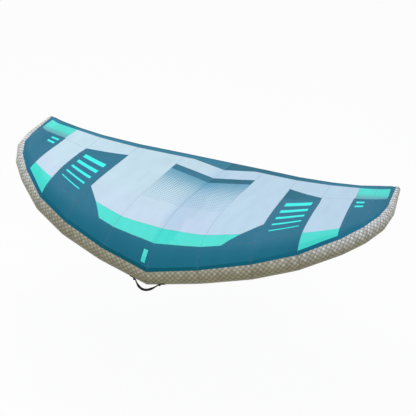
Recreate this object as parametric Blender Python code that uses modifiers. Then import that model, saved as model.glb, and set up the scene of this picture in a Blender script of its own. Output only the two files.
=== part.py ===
"""Inflatable wing for wing foiling: a mitred leading-edge tube, a centre strut, a cambered cloth canopy,
two hard handles under the strut, a soft handle under the nose, an inflation valve and an air hose.

Metres, +Z up. X runs along the span, Y from the nose back to the trailing edge.
"""
import bpy
import bmesh
from math import atan2, cos, pi, radians, sin, sqrt
from mathutils import Matrix, Vector

# Whole wing
HALF_SPAN = 1.600         # centre to the corner where tube and trailing edge meet
CENTRE_LENGTH = 2.222     # nose seam to trailing edge, on the centre line
TIP_SWEEP = 1.642         # how far the tip corner lies behind the nose seam
TIP_RISE = 0.291          # how far the tip corner lies above the nose seam
CAMBER = 0.240            # height of the centre profile above its own chord
SEAM_BOW = 0.042          # how far the first chordwise seam bows towards the centre
GAP = 0.0003              # clearance between pieces that touch

# Leading-edge tube: eight straight panels a side, joined at mitres
TUBE_RADIUS = 0.093
SLEEVE_WALL = 0.0015
FILM_WALL = 0.0005        # bladder film
TUBE_SIDES = 20
ROUND_SIDES = 12          # sides of every bent bar, loop and hose
SPAN_SHARES = (0, 0.245, 0.478, 0.671, 0.836, 0.921, 0.974, 0.995, 1)
SWEEP_SHARES = (0, 0.029, 0.106, 0.219, 0.389, 0.505, 0.629, 0.758, 1)
RISE_SHARES = (0, 0.309, 0.570, 0.763, 0.942, 1.058, 1.089, 1.031, 1)
RADIUS_SHARES = (1, 0.99, 1, 1, 0.97, 0.89, 0.75, 0.52, 0.31)
SEAM_ANGLES = (145, 141, 133, 129, 119, 107, 92, 71, 74)     # degrees round the tube, 90 is its top
TIP = len(SPAN_SHARES) - 1
SIDES = (("right", 1), ("left", -1))

# Canopy: chordwise seams run from the tube's mitres to the corners of the trailing edge
CLOTH = 0.0008
CLOTH_GAP = 0.0006        # between neighbouring gores, which bend away from each other at their seam
TRIM_GAP = 0.0012         # between a gore and the band or hem, measured along the chord
BAND_WIDTH = 0.026        # dark band along the tube seam
HEM_WIDTH = 0.024         # dark hem along the trailing edge
TRAIL_SPAN_SHARES = (0, 0.240, 0.467, 0.665, 0.818, 0.910, 0.943, 0.968, 0.983)
CHORD_SHARES = (1, 0.8766, 0.7047, 0.5582, 0.4395, 0.3328, 0.2532, 0.1679, -0.006)   # of the centre length
TRAIL_RISE_SHARES = (-0.399, 0.017, 0.474, 0.780, 0.842, 1.027, 1.015, 1.005, 1)
CAMBER_SHARES = (1, 0.69, 0.49, 0.40, 0.17, 0.06, 0.02, 0, 0)
BOW_SHARES = (0, 1, 0.60, 0.48, 0.20, 0, 0, 0, 0)
TRIM_SHARES = (1, 1, 1, 1, 1, 1, 0.9, 0.7, 0.3)              # band and hem narrow towards the tip
PROFILE_SHARES = ((0, 0), (0.02, 0.28), (0.045, 0.53), (0.07, 0.70), (0.105, 0.84), (0.142, 0.92),
                  (0.20, 0.98), (0.29, 1), (0.42, 0.89), (0.55, 0.70), (0.66, 0.53), (0.75, 0.39),
                  (0.84, 0.25), (0.92, 0.125), (1, 0))
GORES = ((0, 1), (1, 2), (2, 3), (3, 4), (4, 5), (5, 6, 7, 8))
GORE_SPLITS = 2

# Centre strut: a tapered tube of straight panels that hangs under the centre seam
STRUT_RADIUS = 0.062
STRUT_SHARES = ((0.045, 0.97), (0.122, 0.99), (0.225, 1), (0.383, 0.97), (0.563, 0.89), (0.729, 0.77),
                (0.891, 0.645))                              # place along the chord, radius
STRUT_NOSE_HEIGHT = -0.020        # its axis where it meets the leading edge
STRUT_RISE_HEIGHT = 0.100         # its axis where it turns up towards the cloth

# Soft end caps
DOME_SHARES = ((0, 1), (0.40, 0.92), (0.75, 0.66), (0.95, 0.31))
TAIL_CAP_DEPTH = 0.022
TIP_CAP_DEPTH = 0.016

# Hard strut handles
BAR_RADIUS = 0.011
BAR_DROP = 0.080          # strut skin to the bar's axis
BAR_BEND = 0.032
BAR_STEPS = 5
GRIP_RADIUS = 0.0165
GRIP_CHAMFER = 0.003
FRONT_HANDLE_PLACE = 0.675        # behind the nose seam
FRONT_HANDLE_LENGTH = 0.250
REAR_HANDLE_PLACE = 1.200
REAR_HANDLE_LENGTH = 0.400
HANDLES = (("front", FRONT_HANDLE_PLACE, FRONT_HANDLE_LENGTH),
           ("rear", REAR_HANDLE_PLACE, REAR_HANDLE_LENGTH))
FOOT_LENGTH = 0.078
FOOT_WIDTH = 0.050
FOOT_PLATE = 0.006
FOOT_CORNER = 0.008
FOOT_SADDLE = 0.013       # how far the foot's flanks reach up round the strut
SOCKET_RADIUS = 0.0165
SOCKET_HEIGHT = 0.020
SOCKET_DEPTH = 0.014

# Soft nose handle
LOOP_RADIUS = 0.0065
LOOP_HALF_WIDTH = 0.100
LOOP_DEPTH = 0.065        # hinge line to the loop's far middle
LOOP_LEAN = 15            # degrees, forwards from the facet's own direction
LOOP_POINTS = 16
LOOP_SIDE = 4             # tube facet that carries the loop, counted from the seam
TAB_LENGTH = 0.042
TAB_WIDTH = 0.027
TAB_THICKNESS = 0.004
TAB_MARGIN = 0.002        # loop's end to the tab's near edge
LUG_LENGTH = 0.012
LUG_STEPS = 6             # round its top
LUG_SINK = 0.0015         # how far the rolled end sits down into the tab

# Inflation valve, on the left panel beside the strut
VALVE_PLACE_SHARE = 0.56        # share of the first panel
VALVE_SIDE = 10           # tube facet that carries it
VALVE_FLANGE = 0.042
VALVE_FLANGE_RISE = 0.005
VALVE_SADDLE = 0.016
VALVE_NECK = 0.029
VALVE_NECK_RISE = 0.016
VALVE_BORE = 0.0225
VALVE_STEM = 0.0255
VALVE_STEM_DEPTH = 0.018
INSERT_RIM = 0.0275
INSERT_RIM_HEIGHT = 0.006
INSERT_DEPTH = 0.024
INSERT_BORE = 0.010
INSERT_WALL = 0.003
CAP_RADIUS = 0.0195
CAP_HEIGHT = 0.005
CAP_CHAMFER = 0.001
PLUG_DEPTH = 0.006
PLUG_TAPER_SHARE = 0.8
TONGUE_SHARE = 0.88       # where the tongue leaves the cap
TONGUE_STEPS = 8          # round its end
HINGE_REACH = 0.0240      # valve axis to the cap's hinge
HINGE_RADIUS = 0.0022
HINGE_LENGTH = 0.012
HINGE_SLOT = 0.006
EAR_HEIGHT = 0.0055
PIN_RADIUS = 0.0010
VALVE_STEPS = 28

# Air hose from the leading edge to the strut, with its pinch clip
HOSE_RADIUS = 0.0100
HOSE_WALL = 0.0025
FITTING_FLANGE = 0.021
FITTING_SADDLE = 0.007
FITTING_RISE = 0.004
FITTING_COLLAR = 0.0125
FITTING_COLLAR_RISE = 0.009
FITTING_BARB_RISE = 0.022
FITTING_BORE = 0.004
FITTING_STEPS = 20
HOSE_SIDE = 10            # tube facet that carries the hose's first fitting
HOSE_SPAN = 0.170         # how far that fitting lies from the centre line
STRUT_HOSE_SIDE = 6       # strut facet that carries the other fitting
STRUT_HOSE_SHARE = 0.50   # share of that strut panel
HOSE_SAG = 0.010
HOSE_EASE_SHARE = 0.42
HOSE_STEPS = 9
CLIP_LENGTH = 0.030
CLIP_WIDTH = 0.028
CLIP_FLOOR = 0.003        # wall between the hose and the slot
CLIP_CORNER = 0.003
CLIP_SLOT = 0.012
CLIP_SLOT_DEPTH = 0.0045
CLIP_PIN = 0.0010
CLIP_PIN_INSET = 0.005
LEVER_LENGTH = 0.038
LEVER_THICKNESS = 0.0036

# Cutters run past what they cut
OVERRUN = 0.010
WELD = 0.0001             # points of a turned profile closer than this become one

WEAVE = (0.42, 0.40, 0.33)
TEAL = (0.02, 0.12, 0.19)
PALE = (0.55, 0.66, 0.80)
BLACK = (0.012, 0.012, 0.014)
FILM = (0.75, 0.80, 0.80)
GREY = (0.16, 0.17, 0.18)


def clear_scene():
    for obj in list(bpy.data.objects):
        bpy.data.objects.remove(obj)


def collection(name):
    made = bpy.data.collections.new(name)
    bpy.context.scene.collection.children.link(made)
    return made


def material(name, colour, roughness, metallic=0.0):
    made = bpy.data.materials.new(name)
    made.use_nodes = True
    shader = made.node_tree.nodes["Principled BSDF"]
    shader.inputs["Base Color"].default_value = (*colour, 1)
    shader.inputs["Roughness"].default_value = roughness
    shader.inputs["Metallic"].default_value = metallic
    return made


clear_scene()
PARTS = collection("wingfoil_wing")
CUTTERS = collection("cutters")
FRAME = bpy.data.objects.new("wing_frame", None)
PARTS.objects.link(FRAME)


def add(name, data, look, parent=FRAME):
    """One named piece of the wing, with its own material."""
    obj = bpy.data.objects.new(name, data)
    PARTS.objects.link(obj)
    obj.parent = parent
    data.materials.append(material(name, *look))
    return obj


def add_cutter(name, data):
    obj = bpy.data.objects.new(name, data)
    CUTTERS.objects.link(obj)
    obj.parent = FRAME
    obj.hide_render = True
    obj.display_type = "WIRE"
    return obj


def cut(obj, cutter, operation="DIFFERENCE"):
    made = obj.modifiers.new("cut", "BOOLEAN")
    made.operation = operation
    made.solver = "EXACT"
    made.object = cutter


def mesh(name, points, faces, smooth_angle=None):
    """A mesh from points and faces, with all its faces pointing out."""
    data = bpy.data.meshes.new(name)
    data.from_pydata([tuple(p) for p in points], [], faces)
    work = bmesh.new()
    work.from_mesh(data)
    bmesh.ops.recalc_face_normals(work, faces=work.faces)
    work.to_mesh(data)
    work.free()
    if smooth_angle:
        data.shade_smooth()
        data.set_sharp_from_angle(angle=radians(smooth_angle))
    return data


def split(points, a, b, c, d):
    """Two triangles for a four-cornered face, along its shorter diagonal."""
    if (points[a] - points[c]).length < (points[b] - points[d]).length:
        return [(a, b, c), (a, c, d)]
    return [(a, b, d), (b, c, d)]


def loft(name, rings, smooth_angle=None):
    """A solid through rings that all have the same number of points."""
    count = len(rings[0])
    points = [p for ring in rings for p in ring]
    faces = []
    for r in range(len(rings) - 1):
        for k in range(count):
            n = (k + 1) % count
            faces += split(points, r * count + k, r * count + n, (r + 1) * count + n, (r + 1) * count + k)
    faces.append(tuple(range(count)))
    faces.append(tuple((len(rings) - 1) * count + k for k in range(count)))
    return mesh(name, points, faces, smooth_angle)


def open_tube(name, outer, inner, smooth_angle=None):
    """A tube wall between outer and inner rings, open at both ends."""
    count = len(outer[0])
    loops = list(outer) + list(reversed(inner))
    points = [p for ring in loops for p in ring]
    faces = []
    for r in range(len(loops)):
        s = (r + 1) % len(loops)
        for k in range(count):
            n = (k + 1) % count
            faces += split(points, r * count + k, r * count + n, s * count + n, s * count + k)
    return mesh(name, points, faces, smooth_angle)


def sheet(name, columns, side):
    """Cloth through columns of points, with its upper side on the points."""
    rows = len(columns[0])
    points = [p for column in columns for p in column]
    faces = []
    for c in range(len(columns) - 1):
        for r in range(rows - 1):
            a = c * rows + r
            for face in split(points, a, a + rows, a + rows + 1, a + 1):
                faces.append(face if side > 0 else tuple(reversed(face)))
    data = bpy.data.meshes.new(name)
    data.from_pydata([tuple(p) for p in points], [], faces)
    return data


def thicken(obj, thickness):
    made = obj.modifiers.new("cloth", "SOLIDIFY")
    made.thickness = thickness
    made.offset = -1
    made.use_even_offset = False


def add_turned(name, profile, steps, look, closed=True, place=None, parent=FRAME):
    """A profile of (radius, height) points, turned about Z."""
    data = bpy.data.meshes.new(name)
    count = len(profile)
    edges = [(k, k + 1) for k in range(count - 1)]
    if closed:
        edges.append((count - 1, 0))
    data.from_pydata([(r, 0, z) for r, z in profile], edges, [])
    obj = add(name, data, look, parent)
    if place is not None:
        obj.matrix_local = place
    made = obj.modifiers.new("turn", "SCREW")
    made.angle = 2 * pi
    made.steps = steps
    made.render_steps = steps
    made.use_merge_vertices = True
    made.merge_threshold = WELD
    made.use_normal_calculate = False
    return obj


def cylinder(name, radius, low, high, steps=24):
    """A closed cylinder along Z from low to high."""
    data = bpy.data.meshes.new(name)
    work = bmesh.new()
    bmesh.ops.create_cone(work, cap_ends=True, segments=steps, radius1=radius, radius2=radius,
                          depth=high - low, matrix=Matrix.Translation((0, 0, (high + low) / 2)))
    work.to_mesh(data)
    work.free()
    return data


def block(name, size, centre, corner=0):
    """A box of a size about a centre, with its upright edges rounded."""
    data = bpy.data.meshes.new(name)
    work = bmesh.new()
    bmesh.ops.create_cube(work, size=1, matrix=Matrix.Translation(centre) @ Matrix.Diagonal((*size, 1)))
    if corner:
        upright = [e for e in work.edges if abs(e.verts[0].co.z - e.verts[1].co.z) > size[2] / 2]
        bmesh.ops.bevel(work, geom=upright, offset=corner, segments=3, affect="EDGES", profile=0.5)
    work.to_mesh(data)
    work.free()
    return data


# Leading-edge tube

def seam_point(i):
    """Where the cloth leaves the tube at mitre i, on the right half."""
    return Vector((HALF_SPAN * SPAN_SHARES[i], TIP_SWEEP * SWEEP_SHARES[i], TIP_RISE * RISE_SHARES[i]))


def tube_axes(i):
    """Along the tube, backwards and upwards in the plane of mitre i."""
    if i == 0:
        along = Vector((1, 0, 0))
    else:
        along = (seam_point(i) - seam_point(i - 1)).normalized()
        if i < TIP:
            along = (along + (seam_point(i + 1) - seam_point(i)).normalized()).normalized()
    up = (Vector((0, 0, 1)) - along * along.z).normalized()
    return along, up.cross(along), up


def radial(i, angle):
    along, back, up = tube_axes(i)
    return back * cos(radians(angle)) + up * sin(radians(angle))


def tube_centre(i):
    return seam_point(i) - radial(i, SEAM_ANGLES[i]) * TUBE_RADIUS * RADIUS_SHARES[i]


def tube_ring(i, grow=0.0, shift=0.0, side=1):
    """The tube's outline at mitre i, grown by a distance and shifted along the panel that it ends."""
    centre = tube_centre(i)
    radius = TUBE_RADIUS * RADIUS_SHARES[i] + grow
    if shift:
        j = i + 1 if shift > 0 else i - 1
        centre = centre + (tube_centre(j) - tube_centre(i)).normalized() * abs(shift)
    ring = []
    for k in range(TUBE_SIDES):
        p = centre + radial(i, SEAM_ANGLES[i] + 360 / TUBE_SIDES * k) * radius
        ring.append(Vector((p.x * side, p.y, p.z)))
    return ring


def tube_facet(i, k, share, side):
    """Centre and frame of facet k of panel i, part of the way along: X along the panel, Z out of it."""
    a, b = tube_ring(i, side=side), tube_ring(i + 1, side=side)
    n = (k + 1) % TUBE_SIDES
    low, high = a[k].lerp(b[k], share), a[n].lerp(b[n], share)
    centre = (low + high) / 2
    along = ((b[k] + b[n]) - (a[k] + a[n])).normalized()
    out = along.cross(high - low).normalized()
    middle = tube_centre(i).lerp(tube_centre(i + 1), share)
    if out.dot(centre - Vector((middle.x * side, middle.y, middle.z))) < 0:
        out = -out
    return centre, along, out


def facet_share(i, k, x):
    """Share of panel i at which its facet k reaches a distance from the centre line."""
    low, high = tube_facet(i, k, 0, 1)[0].x, tube_facet(i, k, 1, 1)[0].x
    return (x - low) / (high - low)


def frame_at(centre, along, out):
    """A matrix that stands on a point with X along and Z out."""
    x = (along - out * along.dot(out)).normalized()
    y = out.cross(x)
    made = Matrix((x, y, out)).transposed().to_4x4()
    made.translation = centre
    return made


def make_sleeve():
    for label, side in SIDES:
        for i in range(TIP):
            outer = [tube_ring(i, 0, GAP / 2, side), tube_ring(i + 1, 0, -GAP / 2, side)]
            inner = [tube_ring(i, -SLEEVE_WALL, GAP / 2, side),
                     tube_ring(i + 1, -SLEEVE_WALL, -GAP / 2, side)]
            name = f"edge_sleeve_{label}_{i + 1}"
            add(name, open_tube(name, outer, inner, 40), (WEAVE, 0.6))


def edge_rings(grow, end_shift=0.0):
    """Outlines of the whole tube from the left tip to the right one."""
    left = [tube_ring(i, grow, side=-1) for i in range(TIP - 1, 0, -1)]
    right = [tube_ring(i, grow) for i in range(TIP)]
    return ([tube_ring(TIP, grow, end_shift, -1)] + left + right + [tube_ring(TIP, grow, end_shift)])


def make_edge_bladder():
    """A film tube that fills the sleeve and is hollow inside."""
    inset = -SLEEVE_WALL - GAP
    bladder = add("edge_bladder", loft("edge_bladder", edge_rings(inset), 40), (FILM, 0.35))
    air = loft("edge_air", edge_rings(inset - FILM_WALL, -FILM_WALL))
    cut(bladder, add_cutter("edge_air", air))


def make_tip_caps():
    """Rounded end pieces that close the tube at each tip."""
    along, back, up = tube_axes(TIP)
    for label, side in SIDES:
        ring = tube_ring(TIP, side=side)
        centre = sum(ring, Vector()) / TUBE_SIDES
        out = Vector((along.x * side, along.y, along.z))
        rings = [[centre + (p - centre) * width + out * (GAP + TIP_CAP_DEPTH * depth) for p in ring]
                 for depth, width in DOME_SHARES]
        name = f"tip_cap_{label}"
        add(name, loft(name, rings, 60), (BLACK, 0.5))


def edge_cutter(name, grow=GAP):
    """The first two panels as one solid, a little larger than the tube."""
    rings = [tube_ring(1, grow, side=-1), tube_ring(0, grow), tube_ring(1, grow)]
    return add_cutter(name, loft(name, rings))


# Canopy

def profile(c):
    """Height of the cloth above its chord at a share of the chord, as a share of the camber."""
    for (c0, h0), (c1, h1) in zip(PROFILE_SHARES, PROFILE_SHARES[1:]):
        if c <= c1:
            return h0 + (h1 - h0) * (c - c0) / (c1 - c0)
    return 0.0


def trail_point(i):
    """Corner of the trailing edge at seam i, on the right half."""
    back = seam_point(i).y + CENTRE_LENGTH * CHORD_SHARES[i]
    return Vector((HALF_SPAN * TRAIL_SPAN_SHARES[i], back, TIP_RISE * TRAIL_RISE_SHARES[i]))


def cloth_point(i, c):
    """Upper side of the cloth on seam i at a share of its chord."""
    front = seam_point(i) + radial(i, SEAM_ANGLES[i]) * (CLOTH + GAP)
    p = front.lerp(trail_point(i), c)
    p.z += CAMBER * CAMBER_SHARES[i] * profile(c)
    p.x -= SEAM_BOW * BOW_SHARES[i] * sin(pi * sqrt(c))
    return p


def strip_share(i, width, trim=0.0):
    """Share of seam i's chord that a strip of a width takes, less a clearance."""
    return (width * TRIM_SHARES[i] - trim) / (trail_point(i) - seam_point(i)).length


def cloth_rows(i):
    """Shares of the chord at which a gore's points lie on seam i."""
    front, rear = strip_share(i, BAND_WIDTH), 1 - strip_share(i, HEM_WIDTH)
    return [front + (rear - front) * c for c, h in PROFILE_SHARES]


def cloth_column(low, high, share, rows_low, rows_high, side, inset):
    """A column of cloth points between two seams, moved sideways by an inset."""
    column = []
    for c_low, c_high in zip(rows_low, rows_high):
        p = cloth_point(low, c_low).lerp(cloth_point(high, c_high), share)
        column.append(Vector(((p.x + inset) * side, p.y, p.z)))
    return column


def make_gores():
    for label, side in SIDES:
        for g, ribs in enumerate(GORES):
            columns = [cloth_column(ribs[0], ribs[0], 0, cloth_rows(ribs[0]), cloth_rows(ribs[0]),
                                    side, CLOTH_GAP / 2)]
            for low, high in zip(ribs, ribs[1:]):
                steps = GORE_SPLITS if len(ribs) == 2 else 1
                for s in range(1, steps + 1):
                    inset = -CLOTH_GAP / 2 if high == ribs[-1] and s == steps else 0
                    columns.append(cloth_column(low, high, s / steps, cloth_rows(low),
                                                cloth_rows(high), side, inset))
            name = f"canopy_gore_{label}_{g + 1}"
            obj = add(name, sheet(name, columns, side), (PALE if g in (0, 1, 3) else TEAL, 0.5))
            thicken(obj, CLOTH)


def make_trim(name, low_share, high_share):
    """A narrow strip of cloth from the centre to the tip, between two shares of the chord."""
    for label, side in SIDES:
        columns = []
        for i in range(TIP + 1):
            inset = CLOTH_GAP / 2 if i == 0 else 0
            rows = (low_share(i), high_share(i))
            columns.append(cloth_column(i, i, 0, rows, rows, side, inset))
        full = f"{name}_{label}"
        thicken(add(full, sheet(full, columns, side), (TEAL, 0.5)), CLOTH)


# Centre strut

def skin_height(y):
    """Upper side of the cloth on the centre seam and its slope, as the gores have it."""
    line = [cloth_point(0, c) for c in cloth_rows(0)]
    for a, b in zip(line, line[1:]):
        if y <= b.y or b is line[-1]:
            slope = (b.z - a.z) / (b.y - a.y)
            return a.z + slope * (y - a.y), atan2(b.z - a.z, b.y - a.y)


def strut_stations():
    """Centre, radius and upward direction of the strut at each of its kinks."""
    free = (STRUT_NOSE_HEIGHT, STRUT_RISE_HEIGHT)
    found = []
    for k, (place, width) in enumerate(STRUT_SHARES):
        y = CENTRE_LENGTH * place
        radius = STRUT_RADIUS * width
        if k < len(free):
            found.append((Vector((0, y, free[k])), radius, None))
        else:
            z, slope = skin_height(y)
            up = Vector((0, -sin(slope), cos(slope)))
            found.append((Vector((0, y, z)) - up * (CLOTH + GAP + radius), radius, up))
    done = []
    for k, (centre, radius, up) in enumerate(found):
        if up is None:
            along = (found[k + 1][0] - found[max(k - 1, 0)][0]).normalized()
            up = Vector((1, 0, 0)).cross(along)
        done.append((centre, radius, up))
    return done


def strut_ring(station, grow=0.0):
    centre, radius, up = station
    ring = []
    for k in range(TUBE_SIDES):
        angle = pi / 2 - 2 * pi / TUBE_SIDES * k
        ring.append(centre + (Vector((1, 0, 0)) * cos(angle) + up * sin(angle)) * (radius + grow))
    return ring


def make_strut(edge):
    stations = strut_stations()
    outer = [strut_ring(s) for s in stations]
    inner = [strut_ring(s, -SLEEVE_WALL) for s in stations]
    sleeve = add("strut_sleeve", open_tube("strut_sleeve", outer, inner, 40), (GREY, 0.6))
    cut(sleeve, edge)
    inset = -SLEEVE_WALL - GAP
    core = [strut_ring(s, inset) for s in stations]
    bladder = add("strut_bladder", loft("strut_bladder", core, 40), (FILM, 0.35))
    cut(bladder, edge)
    centre, radius, up = stations[-1]
    way = (stations[-2][0] - centre).normalized()
    stations[-1] = (centre + way * FILM_WALL, radius, up)
    air = loft("strut_air", [strut_ring(s, inset - FILM_WALL) for s in stations])
    air = add_cutter("strut_air", air)
    cut(air, edge_cutter("edge_film_cutter", GAP + FILM_WALL))
    cut(bladder, air)

    stations = strut_stations()
    along = Vector((0, up.z, -up.y))
    ring = strut_ring(stations[-1])
    rings = [[centre + (p - centre) * width + along * (GAP + TAIL_CAP_DEPTH * depth) for p in ring]
             for depth, width in DOME_SHARES]
    add("strut_tail_cap", loft("strut_tail_cap", rings, 60), (BLACK, 0.5))


def strut_cutter(name):
    rings = [strut_ring(s, GAP) for s in strut_stations()]
    return add_cutter(name, loft(name, rings))


def strut_axis(y):
    """Point on the strut's axis and its radius, at a distance behind the nose."""
    stations = strut_stations()
    for (a, radius_a, up_a), (b, radius_b, up_b) in zip(stations, stations[1:]):
        if y <= b.y:
            share = (y - a.y) / (b.y - a.y)
            return a.lerp(b, share), radius_a + (radius_b - radius_a) * share
    return stations[-1][:2]


# Strut handles

def handle_frame(place, length):
    """Frame under the strut's skin: Y along the strut, Z away from the wing's underside."""
    (a, ra), (b, rb) = strut_axis(place - length / 2), strut_axis(place + length / 2)
    down = Vector((1, 0, 0)).cross(b - a).normalized()
    if down.z > 0:
        down = -down
    along = (b + down * rb - a - down * ra).normalized()
    down = (down - along * down.dot(along)).normalized()
    middle = (a + b) / 2 + down * (ra + rb) / 2
    x = along.cross(down)
    made = Matrix((x, along, down)).transposed().to_4x4()
    made.translation = middle
    return made


def bend(centre_y, centre_z, start, end):
    """Points round a bend of the bar, in the handle's own plane."""
    points = []
    for k in range(BAR_STEPS + 1):
        angle = start + (end - start) * k / BAR_STEPS
        points.append(Vector((0, centre_y + BAR_BEND * cos(angle), centre_z + BAR_BEND * sin(angle))))
    return points


def curve(name, points, radius, look, caps=True, parent=FRAME):
    data = bpy.data.curves.new(name, "CURVE")
    data.dimensions = "3D"
    data.bevel_depth = radius
    data.bevel_resolution = ROUND_SIDES // 2 - 2
    data.use_fill_caps = caps
    data.render_resolution_u = 0
    spline = data.splines.new("POLY")
    spline.points.add(len(points) - 1)
    for point, place in zip(spline.points, points):
        point.co = (*place, 1)
    return add(name, data, look, parent)


def make_handle(label, place, length, strut):
    frame = handle_frame(place, length)
    half = length / 2
    low = FOOT_PLATE + SOCKET_HEIGHT - SOCKET_DEPTH + GAP
    inner = half - BAR_BEND
    route = [Vector((0, -half, low))]
    route += bend(-inner, BAR_DROP - BAR_BEND, pi, pi / 2)
    route += bend(inner, BAR_DROP - BAR_BEND, pi / 2, 0)
    route.append(Vector((0, half, low)))
    bar = curve(f"{label}_handle_bar", route, BAR_RADIUS, (GREY, 0.35))
    bar.matrix_local = frame

    end = inner - GRIP_CHAMFER
    bore = BAR_RADIUS + GAP
    shape = ((bore, end), (GRIP_RADIUS - GRIP_CHAMFER, end), (GRIP_RADIUS, end - GRIP_CHAMFER),
             (GRIP_RADIUS, -end + GRIP_CHAMFER), (GRIP_RADIUS - GRIP_CHAMFER, -end), (bore, -end))
    lie = Matrix.Translation((0, 0, BAR_DROP)) @ Matrix.Rotation(pi / 2, 4, "X")
    add_turned(f"{label}_handle_grip", shape, 20, (BLACK, 0.8), place=frame @ lie)

    for end_label, y in (("front", -half), ("back", half)):
        name = f"{label}_handle_foot_{end_label}"
        data = block(name, (FOOT_WIDTH, FOOT_LENGTH, FOOT_PLATE + FOOT_SADDLE),
                     (0, 0, (FOOT_PLATE - FOOT_SADDLE) / 2), FOOT_CORNER)
        foot = add(name, data, (BLACK, 0.5))
        stand = frame @ Matrix.Translation((0, y, 0))
        foot.matrix_local = stand
        boss = add_cutter(f"{name}_boss", cylinder(f"{name}_boss", SOCKET_RADIUS, FOOT_PLATE / 2,
                                                   FOOT_PLATE + SOCKET_HEIGHT))
        hole = add_cutter(f"{name}_hole", cylinder(f"{name}_hole", BAR_RADIUS + GAP,
                                                   FOOT_PLATE + SOCKET_HEIGHT - SOCKET_DEPTH,
                                                   FOOT_PLATE + SOCKET_HEIGHT + OVERRUN))
        boss.matrix_local = stand
        hole.matrix_local = stand
        cut(foot, boss, "UNION")
        cut(foot, hole)
        cut(foot, strut)


# Soft nose handle

def nose_hinge():
    """Point of the nose loop's hinge line at its right end, the way off the tube and the way the loop hangs."""
    centre, along, out = tube_facet(0, LOOP_SIDE, facet_share(0, LOOP_SIDE, LOOP_HALF_WIDTH), 1)
    flat = Vector((0, out.y, out.z)).normalized()
    lift = GAP + TAB_THICKNESS + LOOP_RADIUS - LUG_SINK
    point = centre + flat * lift
    hang = Matrix.Rotation(-radians(LOOP_LEAN), 3, "X") @ flat
    return Vector((LOOP_HALF_WIDTH, point.y, point.z)), flat, hang


def lug_ring(x):
    """The lug's outline across the hinge line: a round top on straight sides that run down into the tab."""
    root = LOOP_RADIUS + TAB_THICKNESS / 2
    ring = [Vector((x, -LOOP_RADIUS, -root)), Vector((x, LOOP_RADIUS, -root))]
    for k in range(LUG_STEPS + 1):
        turn = pi * k / LUG_STEPS
        ring.append(Vector((x, LOOP_RADIUS * cos(turn), LOOP_RADIUS * sin(turn))))
    return ring


def make_nose_handle(edge):
    hinge, flat, hang = nose_hinge()
    pivot = bpy.data.objects.new("nose_loop_pivot", None)
    PARTS.objects.link(pivot)
    pivot.parent = FRAME
    pivot.location = (0, hinge.y, hinge.z)
    reach = LOOP_HALF_WIDTH - GAP
    points = [Vector((reach, 0, 0))]
    for k in range(LOOP_POINTS + 1):
        across = 1 - 2 * k / LOOP_POINTS
        points.append(Vector(((reach - LOOP_RADIUS) * across, 0, 0)) + hang * LOOP_DEPTH * (1 - across ** 2))
    points.append(Vector((-reach, 0, 0)))
    curve("nose_loop", points, LOOP_RADIUS, (BLACK, 0.8), parent=pivot)
    for label, side in SIDES:
        share = facet_share(0, LOOP_SIDE, LOOP_HALF_WIDTH + TAB_MARGIN + TAB_LENGTH / 2)
        centre, along, out = tube_facet(0, LOOP_SIDE, share, side)
        name = f"nose_tab_{label}"
        data = block(name, (TAB_LENGTH, TAB_WIDTH, TAB_THICKNESS * 2), (0, 0, 0))
        tab = add(name, data, (BLACK, 0.7))
        tab.matrix_local = frame_at(centre + out * GAP, along, out)
        lug = add_cutter(f"{name}_lug", loft(f"{name}_lug", [lug_ring(0), lug_ring(LUG_LENGTH)]))
        lug.matrix_local = frame_at(Vector((side * hinge.x, hinge.y, hinge.z)), Vector((side, 0, 0)), flat)
        cut(tab, lug, "UNION")
        cut(tab, edge)


# Inflation valve

def tongue_ring(y, height):
    """Outline of the cap's tongue: a flat strip that leaves the cap and ends round about the hinge line."""
    near = CAP_RADIUS * TONGUE_SHARE
    ring = [Vector((near, y, height + HINGE_RADIUS)), Vector((near, y, height - HINGE_RADIUS))]
    for k in range(TONGUE_STEPS + 1):
        turn = pi * (k / TONGUE_STEPS - 0.5)
        ring.append(Vector((HINGE_REACH + HINGE_RADIUS * cos(turn), y, height + HINGE_RADIUS * sin(turn))))
    return ring


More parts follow.
